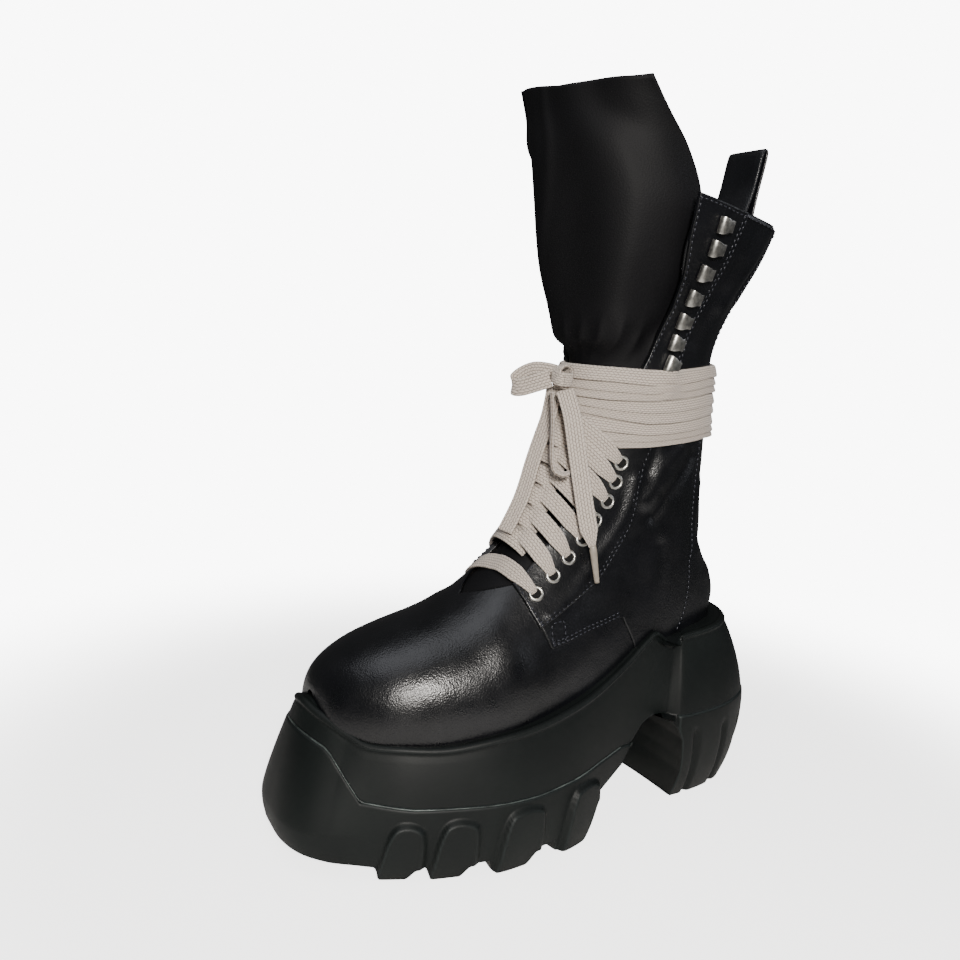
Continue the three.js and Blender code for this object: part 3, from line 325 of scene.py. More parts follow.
# ---- Upper ----
# Black full grain calf, smooth and waxed, lasted over a wide high toe and a straight shaft. The vamp and
# shaft are one wall open down the front; quarters, eyelet facings and back panels are sewn over it.
# Its form is read from stations along the bent spine: front and back point, ridge, outer and inner
# extremes, how far forward the widest line runs, and the roundness of the four quarters.
UPPER = [  # fy, fz, gy, gz, cx, xl, xm, mid, fl, fm, bl, bm
    [-145.6, 88, -145.6, 44, -14, -7, -21, 0.0, 2.4, 2.4, 4, 4],
    [-145.0, 92, -145.0, 44, -14, 2, -28, 0.0, 2.4, 2.4, 4, 4],
    [-142.5, 98, -142.5, 44, -13, 11, -35, -0.02, 2.4, 2.4, 4, 4],
    [-137.0, 104.5, -137.0, 44, -12, 19.5, -41, -0.04, 2.4, 2.4, 4, 4],
    [-128.0, 111, -128.0, 44, -10, 29, -46.5, -0.06, 2.4, 2.4, 4, 4],
    [-115.0, 118, -115.0, 44, -8, 38, -50.5, -0.08, 2.35, 2.35, 4, 4],
    [-97.0, 125, -97.0, 44, -5, 45.5, -52.5, -0.1, 2.3, 2.3, 4, 4],
    [-76.0, 132.5, -74.0, 44, -2, 51.5, -52, -0.12, 2.2, 2.25, 4, 4],
    [-58.0, 143, -48.0, 45, 1, 54.5, -48.5, -0.16, 2.1, 2.2, 4, 4],
    [-43.0, 157, -15.0, 50, 3, 52, -44, -0.2, 1.9, 2.1, 3.6, 3.6],
    [-30.0, 174, 22.0, 61, 4, 46.5, -39.5, -0.22, 1.85, 2.0, 3.4, 3.4],
    [-20.0, 192, 60.0, 71, 4, 41.5, -36, -0.2, 1.85, 2.0, 3.0, 3.0],
    [-12.0, 210, 95.0, 78, 3, 38.5, -35, -0.1, 1.85, 2.0, 2.6, 2.6],
    [-5.0, 227, 125.0, 92, 3, 36.5, -34.5, 0.0, 1.85, 2.0, 2.3, 2.3],
    [0.0, 242, 129.5, 120, 2, 36, -34.5, 0.06, 1.9, 2.0, 2.2, 2.2],
    [3.5, 254, 119.0, 150, 2, 36, -35, 0.08, 1.9, 2.0, 2.1, 2.1],
    [6.0, 265, 111.5, 182, 1, 36.5, -35.5, 0.06, 1.95, 2.0, 2.1, 2.1],
    [7.0, 276, 108.5, 218, 1, 36.5, -36.5, 0.02, 2.0, 2.1, 2.1, 2.1],
    [7.0, 288, 107.5, 250, 1, 37, -37.5, 0.0, 2.0, 2.2, 2.1, 2.1],
    [6.0, 301, 104.0, 283, 2, 39, -38.5, -0.05, 2.0, 2.5, 2.2, 2.1],
    [3.0, 321, 107.0, 312, 4, 46, -40.5, -0.1, 2.05, 3.0, 2.6, 2.2],
    [-1.0, 347, 116.0, 343, 6, 56, -43, -0.14, 2.3, 3.6, 3.2, 2.3],
    [-4.0, 374, 122.0, 372, 7, 63, -46, -0.16, 2.5, 4.0, 3.6, 2.4],
    [-6.0, 398, 126.0, 396, 7, 67, -48, -0.16, 2.5, 4.0, 3.8, 2.4],
]
TOP_STATION = len(UPPER) - 1
SHUT = 7.9  # station below which the front is closed
SHUT_SHARE = 0.36  # share of the shell's rows below it
THROAT_LOW, THROAT_ROUND = 142, 9  # height of the throat's lower end and of the curve over it
THROAT_OUTER = [[144, 20], [150, 25], [175, 23], [200, 23], [225, 24.5], [250, 28], [275, 32.3], [296, 36.7],
                [327, 47.6], [365, 59.1], [376, 63], [420, 68]]  # height, x
THROAT_INNER = [[144, -14], [150, -17.5], [222, -17.5], [245, -21], [275, -26], [310, -30], [350, -34],
                [372, -40], [420, -40]]
COLLAR = (0.045, 0.186, 382.5)  # its fall toward the outer side and the back, and its height over the origin


def form(t, turn):
    """A point of the outer form in millimetres; turn goes front, outer side, back, inner side."""
    t, turn = np.broadcast_arrays(np.asarray(t, float), np.asarray(turn, float))
    fy, fz, gy, gz, cx, xl, xm, mid, fl, fm, bl, bm = np.moveaxis(read_table(UPPER, t), -1, 0)
    c, s = np.cos(turn), np.sin(turn)
    front, outer = c >= 0, s >= 0
    power = 2 / np.where(outer, np.where(front, fl, bl), np.where(front, fm, bm))
    u = mid + np.where(front, 1 - mid, 1 + mid) * np.sign(c) * np.abs(c) ** power
    x = cx + np.sign(s) * np.abs(s) ** power * np.where(outer, xl - cx, cx - xm)
    return np.stack([x, (fy + gy) / 2 + u * (fy - gy) / 2, (fz + gz) / 2 + u * (fz - gz) / 2], -1)


def form_out(t, turn):
    t, turn = np.broadcast_arrays(np.asarray(t, float), np.asarray(turn, float))
    up = form(np.minimum(t + 0.04, TOP_STATION), turn) - form(np.maximum(t - 0.04, 0), turn)
    return unit(np.cross(form(t, turn + 0.03) - form(t, turn - 0.03), up))


# Soft folds: how proud (or deep, if negative), how wide, and where each runs (station, turn).
FOLDS = [
    (-2.2, 5.0, [[16.6, 2.0], [15.8, 1.8], [14.9, 1.62], [13.7, 1.38]]),  # outer side, wrap down to the facing
    (1.7, 5.5, [[16.4, 1.72], [15.6, 1.56], [14.7, 1.42], [13.8, 1.26]]),
    (-1.2, 4.0, [[16.4, 1.42], [15.5, 1.36], [14.9, 1.3]]),
    (1.4, 4.0, [[16.3, 2.3], [15.4, 2.18], [14.5, 2.1]]),
    (-1.0, 5.0, [[13.2, 1.5], [12.2, 1.7], [11.6, 1.9]]),
    (-2.6, 6.0, [[15.4, 2.3], [15.1, 2.8], [15.0, 3.3], [15.2, 3.9], [15.6, 4.3]]),  # back of the ankle
    (1.8, 6.0, [[14.4, 2.4], [14.1, 2.9], [14.1, 3.4], [14.3, 4.0]]),
    (-1.5, 5.0, [[16.6, 2.6], [16.3, 3.1], [16.4, 3.7]]),
    (-2.2, 5.0, [[16.5, -2.1], [15.7, -1.95], [14.8, -1.85], [13.8, -1.7]]),  # inner side
    (1.6, 5.5, [[16.2, -1.35], [15.2, -1.3], [14.2, -1.2]]),
    (-0.25, 7.0, [[8.9, 1.3], [8.6, 1.0], [8.3, 0.7], [8.1, 0.35]]),  # flex lines across the vamp
    (0.2, 8.0, [[8.4, 1.35], [8.05, 1.05], [7.8, 0.7], [7.7, 0.3]]),
    (-0.15, 7.0, [[7.9, 1.5], [7.5, 1.2], [7.2, 0.8]]),
    (-0.5, 6.0, [[8.9, -1.4], [8.5, -1.0], [8.2, -0.6], [8.1, -0.3]]),
    (0.4, 6.0, [[8.3, -1.35], [7.9, -0.9], [7.7, -0.4]]),
    (1.3, 4.0, [[9.5, 0.98], [10.5, 1.0], [11.5, 1.02], [12.5, 1.06], [14, 1.12]]),  # along the facing
    (1.6, 7.0, [[20.0, 1.9], [21.0, 1.95], [22.0, 1.95]]),  # gathers under the collar
    (-1.4, 6.0, [[20.3, 2.15], [21.2, 2.2], [22.2, 2.25]]),
    (1.5, 6.0, [[20.2, 2.45], [21.3, 2.5], [22.2, 2.5]]),
    (-1.3, 7.0, [[19.6, -1.3], [20.6, -1.25], [21.6, -1.2]]),
    (1.2, 6.0, [[19.9, -2.2], [20.9, -2.3], [21.8, -2.35]]),
    (-1.2, 6.0, [[19.2, 1.7], [20.0, 1.72], [20.8, 1.7]]),
]


def folded(points):
    """How far the folds lift each point off the form."""
    flat = points.reshape(-1, 3)
    lift = np.zeros(len(flat))
    for high, wide, route in FOLDS:
        line = form(*np.array(even_line(np.array(route), 0.08)).T)
        near = np.full(len(flat), 1e9)
        for a, b in zip(line[:-1], line[1:]):
            share = np.clip((flat - a) @ (b - a) / max((b - a) @ (b - a), 1e-9), 0, 1)
            near = np.minimum(near, np.linalg.norm(flat - a - share[:, None] * (b - a), axis=1))
        lift += high * np.exp(-(near / wide) ** 2)
    return lift.reshape(points.shape[:-1])


def leather_at(t, turn, lift):
    points = form(t, turn)
    return points + form_out(t, turn) * (folded(points) + lift)[..., None]


def throat_turn(t, edge, side):
    """The turn at which the throat's edge crosses each station; 0 below the throat."""
    heights, xs = np.array(edge, float).T
    low, high = np.zeros_like(t), np.full_like(t, 1.75)
    for _ in range(28):
        middle = (low + high) / 2
        x, _, z = np.moveaxis(form(t, side * middle), -1, 0)
        opened = np.clip((z - THROAT_LOW) / THROAT_ROUND, 0, 1) ** 0.5
        inside = (opened > 0) & (side * (x - np.interp(z, heights, xs) * opened) < 0)
        low, high = np.where(inside, middle, low), np.where(inside, high, middle)
    return np.where(low < 1e-3, 0, low)


def even_turns(t, first, last, count):
    """For each station, turns from first to last an equal distance apart round the form."""
    share = np.linspace(0, 1, 400)
    turns = first[:, None] + (last - first)[:, None] * share
    rows = [(lengths(line), row) for line, row in zip(form(t[:, None], turns), turns)]
    return np.array([np.interp(np.linspace(0, run[-1], count), run, row) for run, row in rows])


def over_collar(points):
    return points[..., 2] + COLLAR[0] * points[..., 0] + COLLAR[1] * points[..., 1] - COLLAR[2]


def outer_edge(t):
    return throat_turn(t, THROAT_OUTER, 1)


def inner_edge(t):
    return 2 * np.pi - throat_turn(t, THROAT_INNER, -1)


def shell_grid(rows, cols):
    """Stations and turns of the shell, from the toe to the collar and round from edge to edge of the throat."""
    levels = np.linspace(0, TOP_STATION, 160)
    turns = even_turns(levels, outer_edge(levels), inner_edge(levels), cols)
    t, turn = np.zeros((rows, cols)), np.zeros((rows, cols))
    for j in range(cols):
        top = np.interp(0, over_collar(form(levels, turns[:, j])), levels)
        t[:, j] = np.interp(np.arange(rows), [0, rows * SHUT_SHARE, rows - 1], [0, SHUT, top])
        turn[:, j] = np.interp(t[:, j], levels, turns[:, j])
    return t, turn


def object_cells(tree, size):
    """Distance in cells of that size in millimetres."""
    put = {"Vector": add(tree, "TexCoord").outputs["Object"], "Scale": 1 / (size * MM)}
    return add(tree, "TexVoronoi", put, feature="F1").outputs["Distance"]


# Waxed calf: near black, smooth, with a fine pore grain that breaks the highlights into sparkle.
calf, tree, surface = new_material("waxed_black_calf", Roughness=0.4, Specular_IOR_Level=0.6)
two_tone(tree, surface, object_noise(tree, 28.0, 4.0), "#050608", "#0c0d11", 0.3, 0.75)
dulled(tree, surface, object_noise(tree, 60.0, 5.0), 0.26, 0.36, 0.3, 0.7)
grain = maths(tree, "MULTIPLY_ADD", object_noise(tree, 1 / (1.3 * MM), 3.0), 1.2, object_cells(tree, 0.9))
bump = embossed(tree, surface, grain, 0.35, 0.00025)
embossed(tree, surface, object_noise(tree, 70.0), 0.25, 0.0012, bump)

# Softer tongue leather: the same hide left unwaxed, so it shines less.
soft_calf, tree, surface = new_material("soft_black_calf", Roughness=0.66, Specular_IOR_Level=0.22)
two_tone(tree, surface, object_noise(tree, 45.0, 6.0), "#040406", "#0a0a0d")
embossed(tree, surface, object_cells(tree, 1.1), 0.35, 0.0002)

# Pigskin lining: the shaft's inside and the back of the tongue, dull brown black.
pigskin, tree, surface = new_material("pigskin_lining", Roughness=0.8)
fleck = object_noise(tree, 500.0, 3.0)
two_tone(tree, surface, fleck, "#1a1613", "#2b2521")
embossed(tree, surface, fleck, 0.3, 0.0003)


def walled(piece, thick, inner=None):
    if inner:
        piece.data.materials.append(inner)
    wall = piece.modifiers.new("wall", "SOLIDIFY")
    wall.thickness, wall.offset, wall.use_even_offset = thick * MM, -1, False
    wall.material_offset = 1 if inner else 0
    return piece


SHELL_UNDER, SHELL_WALL = -0.7, 1.5  # below the panels' face, and its thickness
shell_t, shell_turn = shell_grid(190, 210)
upper = skin("upper_shell", leather_at(shell_t, shell_turn, SHELL_UNDER), merge=True, flip=True)
finish(upper, calf, nodes=["upper"])
walled(upper, SHELL_WALL, pigskin)

# Panels sewn over the shell: cut calf about 1.2 mm thick with the cut edges rolled down, and double rows of
# black thread. Each is laid between its lower, upper, front and back edge, as (station, turn) points.
ROLL = np.array([0, 0.12, 0.35, 0.75, 1.3])  # rows that roll a cut edge down, in millimetres from it
ROLL_WIDE = 0.75


def panel_stops(run, count):
    middle = np.linspace(ROLL[-1], run - ROLL[-1], count - 2 * len(ROLL) + 2)
    return np.concatenate([ROLL[:-1], middle, run - ROLL[-2::-1]]) / run


def edge_stops(edge, count):
    """Points along an edge, closer where its ends roll down, and the edge's length."""
    fine = along(edge, np.arange(len(edge)), np.linspace(0, len(edge) - 1, 40 * len(edge)))
    run = lengths(form(*fine.T))
    return along(fine, run, panel_stops(run[-1], count) * run[-1]), run[-1]


def panel(name, lower, upper_edge, front, back, rows, cols, under, over):
    (low, wide), (high, _) = edge_stops(lower, cols), edge_stops(upper_edge, cols)
    (fore, tall), (aft, _) = edge_stops(front, rows), edge_stops(back, rows)
    u, v = panel_stops(tall, rows)[:, None, None], panel_stops(wide, cols)[None, :, None]
    spread = (1 - u) * low + u * high + (1 - v) * fore[:, None] + v * aft[:, None] \
        - ((1 - u) * ((1 - v) * low[0] + v * low[-1]) + u * ((1 - v) * high[0] + v * high[-1]))
    t, turn = spread[..., 0], spread[..., 1]
    inside = np.minimum(np.minimum(u, 1 - u)[..., 0] * tall, np.minimum(v, 1 - v)[..., 0] * wide)
    rolled = np.sqrt(np.clip(1 - (1 - np.minimum(inside / ROLL_WIDE, 1)) ** 2, 0, 1))
    facing_out = np.cross(form(t[1:, :1], turn[1:, :1]) - form(t[:-1, :1], turn[:-1, :1]),
                          form(t[:-1, 1:2], turn[:-1, 1:2]) - form(t[:-1, :1], turn[:-1, :1]))
    flip = np.sum(facing_out * form_out(t[:-1, :1], turn[:-1, :1])) < 0
    return skin(name, leather_at(t, turn, under + (over - under) * rolled), flip=flip)


# Bonded black nylon thread, slightly glossy where it bulges out of its holes.
thread, tree, surface = new_material("bonded_nylon_thread", Roughness=0.35)
two_tone(tree, surface, object_noise(tree, 1500.0), "#101116", "#33353f")
STITCH, STITCH_GAP, THREAD = 2.4, 1.0, 0.5


def sew(rows, route, lift, shift=0.0):
    """A row of stitches along (station, turn) points, moved sideways by shift millimetres."""
    shape = bmesh.new()
    t, turn = along(route, np.arange(len(route)), np.linspace(0, len(route) - 1, 60 * len(route))).T
    out = form_out(t, turn)
    line = leather_at(t, turn, np.full(len(t), lift))
    line = line + np.cross(out, unit(np.gradient(line, axis=0))) * shift
    run = lengths(line)
    for start in np.arange(0.8, run[-1] - STITCH, STITCH + STITCH_GAP):
        a, b, normal = along(line, run, start), along(line, run, start + STITCH), along(out, run, start)
        ahead = unit(b - a)
        basis = Matrix(np.stack([ahead, unit(np.cross(normal, ahead)), normal], 1).tolist()).to_4x4()
        size = Matrix.Diagonal((STITCH / 2 * MM, THREAD * MM, THREAD * MM, 1))
        place = Matrix.Translation(in_row((a + b) / 2)) @ basis @ size
        bmesh.ops.create_uvsphere(shape, u_segments=6, v_segments=4, radius=1, matrix=place)
    rows.append(bpy.data.meshes.new("row"))
    shape.to_mesh(rows[-1])
    shape.free()


def joined(name, meshes):
    shape = bmesh.new()
    for mesh in meshes:
        shape.from_mesh(mesh)
        bpy.data.meshes.remove(mesh)
    return piece_of(name, shape)


def collar_edge(first, last, count):
    """Points along the collar's cut edge between two turns."""
    turns = np.linspace(first, last, count)
    levels = np.linspace(18, TOP_STATION, 200)
    over = over_collar(form(levels[:, None], turns[None]))
    return [[np.interp(0, over[:, j], levels), turn] for j, turn in enumerate(turns)]


def throat_edge(side, stations):
    edge = THROAT_OUTER if side > 0 else THROAT_INNER
    return [[t, side * throat_turn(np.array([t], float), edge, side)[0]] for t in stations]


def on_side(side, edge):
    return [[t, side * turn] for t, turn in edge]


THROAT_STATIONS = [9.0, 9.3, 9.7, 10.5, 11.5, 12.5, 13.5, 14.5, 15.5, 16.5, 17.5, 18.3, 19, 19.7, 20.4, 21.1]
FACING_SEAM = {
    1: [[9.12, 0.99], [11.11, 1.12], [13.94, 1.17], [14.98, 1.26], [16.2, 1.38], [17.5, 1.5], [18.8, 1.6],
        [20.0, 1.63], [21.2, 1.6]],
    -1: [[9.12, 1.05], [11.11, 1.17], [13.94, 1.2], [14.98, 1.22], [17.5, 1.24], [18.8, 1.28], [20.0, 1.32],
         [21.2, 1.34]],
}
BACK_SEAM = [[11.1, 1.86], [12.3, 2.03], [13.0, 1.93], [13.8, 1.89], [15.1, 2.05], [16.2, 2.14], [17.5, 2.22],
             [18.8, 2.25], [20.0, 2.27], [21.3, 2.3]]
STEPPED_EDGE = [[9.14, 0.9], [9.23, 1.2], [9.75, 1.28], [10.26, 1.34], [10.8, 1.42], [11.21, 1.48],
                [11.16, 1.66], [11.1, 1.86]]
CORNER_BOX = [[9.45, 1.03], [9.28, 1.17], [9.62, 1.24], [9.8, 1.1], [9.45, 1.03]]
FACING_UNDER, FACING_TOP = -0.9, 1.1  # heights over the form of its rolled edge and its face
QUARTER_UNDER, QUARTER_TOP = -1.1, 0.3
THREAD_OVER = 0.05
ON_FACING, ON_QUARTER = FACING_TOP + THREAD_OVER, QUARTER_TOP + THREAD_OVER

seams = []
for side, name in ((1, "outer"), (-1, "inner")):
    seam, back = on_side(side, FACING_SEAM[side]), on_side(side, BACK_SEAM)
    front, stepped = throat_edge(side, THROAT_STATIONS), on_side(side, STEPPED_EDGE)
    for edge in (front, seam, back):
        edge.append(collar_edge(edge[-1][1], edge[-1][1], 1)[0])
    facing_low = [[9.0, front[0][1]], [9.05, side * 0.8], seam[0]]
    facing = panel("facing_" + name, facing_low, collar_edge(front[-1][1], seam[-1][1], 12), front, seam,
                   230, 34, FACING_UNDER, FACING_TOP)
    finish(facing, calf)

    under_facing = [stepped[0]] + [[t, turn - side * 0.1] for t, turn in seam[1:]]
    quarter = panel("quarter_" + name, stepped, collar_edge(under_facing[-1][1], back[-1][1], 14), under_facing,
                    back, 190, 110, QUARTER_UNDER, QUARTER_TOP)
    finish(quarter, calf)

    for route, lift, shift in (
        (seam, ON_FACING, 1.3), (seam, ON_FACING, 3.3), (front, ON_FACING, -1.6), (facing_low, ON_FACING, 1.8),
        (stepped[1:6], ON_QUARTER, 1.5), (stepped[1:6], ON_QUARTER, 3.6), (back[1:], ON_QUARTER, 1.6),
        (on_side(side, CORNER_BOX), ON_QUARTER, 0),
        (collar_edge(front[-1][1], back[-1][1], 16), ON_FACING, -2.4),
    ):
        sew(seams, route, lift, side * shift)
sew(seams, collar_edge(2.3, 2 * np.pi - 2.3, 24), -0.6, shift=-2.4)
finish(joined("seam_stitches", seams), thread)

# ---- Tongue ----
# One tall piece of soft unlined calf behind the laces. It follows the inside of the throat up to the wrap,
# then stands free above the collar, cut square at the top, with long soft upright folds.
TONGUE_LOW = [7.5, 8.6, 9.6, 10.8, 12.2, 13.8, 15.6, 17.4]
TONGUE_HALF = [22, 24, 26, 28, 29, 30, 31, 33]
TONGUE_UNDER, TUCK_ROUND = -3.5, 0.93  # depth under the form, and how far round it a tucked row may reach
TONGUE = [  # height, outer edge, two bends in front, inner edge
    [291, 31, 42, 24, 12, -17, 3.5, -29.5, 33],
    [312, 35, 47, 28, 11, -20, -0.5, -31.5, 30],
    [340, 43, 51, 36, 9, -22, -7, -34, 22],
    [370, 49, 50, 40, 6, -20, -13, -36, 13],
    [397, 48, 38, 34, -2, -16, -17, -46, -5],
    [418, 50, 16, 27, -7, -15, -18, -49, -8],
    [440, 50, -4, 22, -14, -16, -22, -50, -15],
]
TONGUE_TOP = [[-60, 434.5], [-48, 433], [0, 427.5], [60, 429]]
TONGUE_ROWS, TONGUE_COLS, TONGUE_WALL = 170, 91, 1.9


def soft_step(x):
    return np.clip(x, 0, 1) ** 2 * (3 - 2 * np.clip(x, 0, 1))


def tucked_row(t, half):
    """A row of the tongue under the upper at a station, reaching half millimetres to each side."""
    share = np.linspace(1, -1, TONGUE_COLS)
    _, _, _, _, cx, xl, xm, _, fl, fm, _, _ = read_table(UPPER, t)
    wide, power = np.where(share >= 0, xl - cx, cx - xm), np.where(share >= 0, fl, fm)
    turn = np.sign(share) * np.arcsin(np.minimum(half / wide * np.abs(share), TUCK_ROUND) ** (power / 2))
    return form(t, turn) + form_out(t, turn) * TONGUE_UNDER


key_rows = [tucked_row(t, half) for t, half in zip(TONGUE_LOW, TONGUE_HALF)]
for z, *flat in TONGUE:
    bends = even_line(np.array(flat).reshape(4, 2), 0.5)
    row = along(bends, np.arange(len(bends)), np.linspace(0, len(bends) - 1, TONGUE_COLS))
    key_rows.append(np.column_stack([row, np.full(TONGUE_COLS, z)]))
key_rows = np.array(key_rows).reshape(len(key_rows), -1)
levels = np.linspace(0, len(key_rows) - 1, 420)
free_levels = slice(200, None)  # those that stand above the collar
fine = read_table(key_rows, levels).reshape(len(levels), TONGUE_COLS, 3)
tongue_points = np.zeros((TONGUE_ROWS, TONGUE_COLS, 3))
for j, column in enumerate(fine.transpose(1, 0, 2)):
    over = column[:, 2] - np.interp(column[:, 0], *np.array(TONGUE_TOP).T)
    top = np.interp(0, over[free_levels], levels[free_levels])
    tongue_points[:, j] = along(column, levels, np.linspace(0, top, TONGUE_ROWS))
share, height = np.linspace(0, 1, TONGUE_COLS)[None], tongue_points[..., 2]
normal = unit(np.cross(np.gradient(tongue_points, axis=1), np.gradient(tongue_points, axis=0)))
wave = 1.1 * np.sin(2 * np.pi * (1.35 * share + 0.0016 * (height - 300) + 0.1)) \
    + 0.8 * np.sin(2 * np.pi * (3.1 * share - 0.003 * (height - 300)) + 1.0) \
    + 1.0 * np.exp(-((share - 0.72 + 0.001 * (height - 360)) / 0.03) ** 2)
pinch = -1.5 * np.exp(-((height - 292) / 9) ** 2) * np.abs(np.sin(2 * np.pi * 4.3 * share))
relief = wave * soft_step((height - 285) / 50) + pinch
tongue_points = tongue_points - normal * relief[..., None] * np.sign(normal[100, 45, 1])
tongue = skin("tongue_sheet", tongue_points)
if tongue.data.polygons[9000].normal.y > 0:
    tongue.data.flip_normals()
finish(tongue, soft_calf, nodes=["tongue"])
walled(tongue, TONGUE_WALL, pigskin)

# ---- Insole ----
# Board covered in dark sheepskin, glued flat on the footbed; it fills the last's outline inside the wall.
# The frame's own solid shows it.


def dress(node, material):
    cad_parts[node].data.materials.clear()
    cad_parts[node].data.materials.append(material)


dress("insole", pigskin)

# ---- Sole ----
# Moulded black rubber in three parts cemented together: a deep midsole with a rolled rim, a treaded
# forefoot outsole with claw-shaped side lugs and a toe shield, and a separate grooved heel block.
SOLE = [  # rim x, y, z; widest line x, y; edge at the floor x, y
    [-14, -149, 84.5, -14, -166, -14, -157], [-2, -146.5, 82.5, 4, -166, 2, -157],
    [9, -141.5, 79.5, 19, -161, 16, -153], [19, -135.5, 75.5, 29.5, -150, 26, -144],
    [29, -128.5, 72, 38, -135, 34, -131], [40.5, -113, 72, 49, -116, 44, -113],
    [50, -91, 72, 58, -92, 53, -90], [56.5, -65, 75.5, 65, -64, 60, -64], [58, -39, 79, 65, -37, 60, -38],
    [55, -12, 84.5, 61, -9, 57, -11], [50, 9, 90, 54.5, 12, 50, 11], [45.5, 32, 101, 47.5, 34, 44, 34],
    [42.5, 49, 112, 43.5, 51, 40, 52], [41, 58, 115.5, 43, 60, 39, 61], [40.5, 71, 107.5, 44.5, 68, 37, 73],
    [40.5, 82, 111.5, 50.5, 78, 37.5, 84], [40, 98, 113, 50.5, 100, 37, 101],
    [36, 114, 114.5, 46.5, 124, 34, 121], [25.5, 128, 116, 34, 146, 27, 138], [8, 135.5, 117, 10, 157, 9, 147],
    [-12, 132.5, 116.5, -15, 153.5, -12, 144.5], [-27, 121.5, 115, -35, 137, -27, 131],
    [-34.5, 104, 113, -45, 108, -33, 107], [-36.5, 82, 111.5, -45.5, 79, -34, 84],
    [-37, 71, 107.5, -40, 69, -34, 73], [-38, 57, 115.5, -39.5, 60, -36, 60],
    [-40, 36, 103, -41.5, 37, -38, 37], [-43, 10, 91, -47, 11, -43, 11],
    [-48, -18, 83.5, -54.5, -17, -50, -17], [-53.5, -50, 77.5, -61, -50, -57, -50],
    [-56, -84, 73, -64.5, -86, -60, -85], [-55, -110, 72, -64.5, -114, -60, -112],
    [-49, -129, 72.5, -59.5, -138, -55, -134], [-40, -140, 76, -50, -154, -46, -147],
    [-28, -147, 81.5, -33, -163.5, -31, -155],
]
WIDEST_Z = [[-170, 24], [-100, 28], [0, 32], [45, 50], [80, 56], [170, 56]]  # y, height
SHIELD = [[-200, 73], [-156, 71], [-147, 66.5], [-134.5, 43], [-110, 40.5], [-40, 40.5], [-12, 43], [8, 46],
          [30, 49], [39, 48]]
ARCH = [[-4, 8], [2, 19], [9, 27], [20, 32], [31, 37], [40, 48], [50, 58], [60, 62], [70, 62]]
HEEL_TOP = [[70, 61], [105, 62], [170, 66]]
HEEL_BREAST = [[0, 84], [20, 83], [45, 78], [61, 70]]  # height, y
LUG_PROUD = 3.8
RIM_ROUND = [[-150, 1.2], [-112, 1.7]]  # y, how fully the wall swells out below the rim
LUGS_OUTER = [[-126, -111, 35], [-101, -83, 36], [-66, -43, 38], [-21, 2, 40]]
LUGS_INNER = [[-133, -118, 35], [-107, -88, 36], [-74, -52, 38], [-37, -12, 39]]
SOLE_COLS = 900


def at_y(table, y):
    return np.interp(y, *np.array(table).T)


outline = read_table(SOLE, np.linspace(0, len(SOLE), SOLE_COLS + 1), closed=True)
tangent = np.roll(outline, -2, 0)[:, 3:5] - np.roll(outline, 2, 0)[:, 3:5]
tangent[[0, 1, -1, -2]] = tangent[[2, 2, -3, -3]] * 0.5 + tangent[2] * 0.5
OUTWARD = unit(np.stack([tangent[:, 1], -tangent[:, 0]], -1))
OUTWARD = OUTWARD * np.sign(np.sum(OUTWARD * (outline[:, 3:5] - outline[:, 3:5].mean(0)), 1))[:, None]
for _ in range(6):
    OUTWARD = unit(np.roll(OUTWARD[:-1], 1, 0) + OUTWARD[:-1] + np.roll(OUTWARD[:-1], -1, 0))
    OUTWARD = np.concatenate([OUTWARD, OUTWARD[:1]])


def sole_wall(z, proud):
    """The sole's side at those heights (rows by outline columns), grown outward by proud millimetres."""
    rx, ry, rz, wx, wy, bx, by = outline.T
    wz = at_y(WIDEST_Z, wy)
    high = np.clip((rz - z) / (rz - wz), 0, 1)
    out = 1 - (1 - high) ** at_y(RIM_ROUND, wy)
    tuck = np.clip(1 - z / wz, 0, 1) ** 2.2
    x = np.where(z >= wz, rx + (wx - rx) * out, wx + (bx - wx) * tuck) + OUTWARD[:, 0] * proud
    y = np.where(z >= wz, ry + (wy - ry) * out, wy + (by - wy) * tuck) + OUTWARD[:, 1] * proud
    return np.stack([x, y, np.broadcast_to(z, x.shape)], -1)


def line_on_wall(table):
    """Height of a side line, given over y, where the wall really is at that height."""
    z = at_y(table, outline[:, 4])
    for _ in range(6):
        z = at_y(table, sole_wall(z, 0)[..., 1])
    return z


def smoothed(loop, count):
    """Moving average of an odd count of columns round the outline, whose last column is its first again."""
    half = count // 2
    wrapped = np.concatenate([loop[-half - 1:-1], loop, loop[1:half + 1]])
    return np.convolve(wrapped, np.ones(count) / count, "valid")


def outward(reach):
    return np.column_stack([OUTWARD * reach, np.zeros(len(OUTWARD))])


def facing_out(piece, cap_under=None):
    """Turns the piece's faces outward, after capping its open edge that lies under a height in metres."""
    shape = bmesh.new()
    shape.from_mesh(piece.data)
    if cap_under:
        low = [edge for edge in shape.edges if edge.is_boundary and edge.verts[0].co.z < cap_under]
        bmesh.ops.contextual_create(shape, geom=low)
    bmesh.ops.recalc_face_normals(shape, faces=shape.faces[:])
    shape.to_mesh(piece.data)
    shape.free()
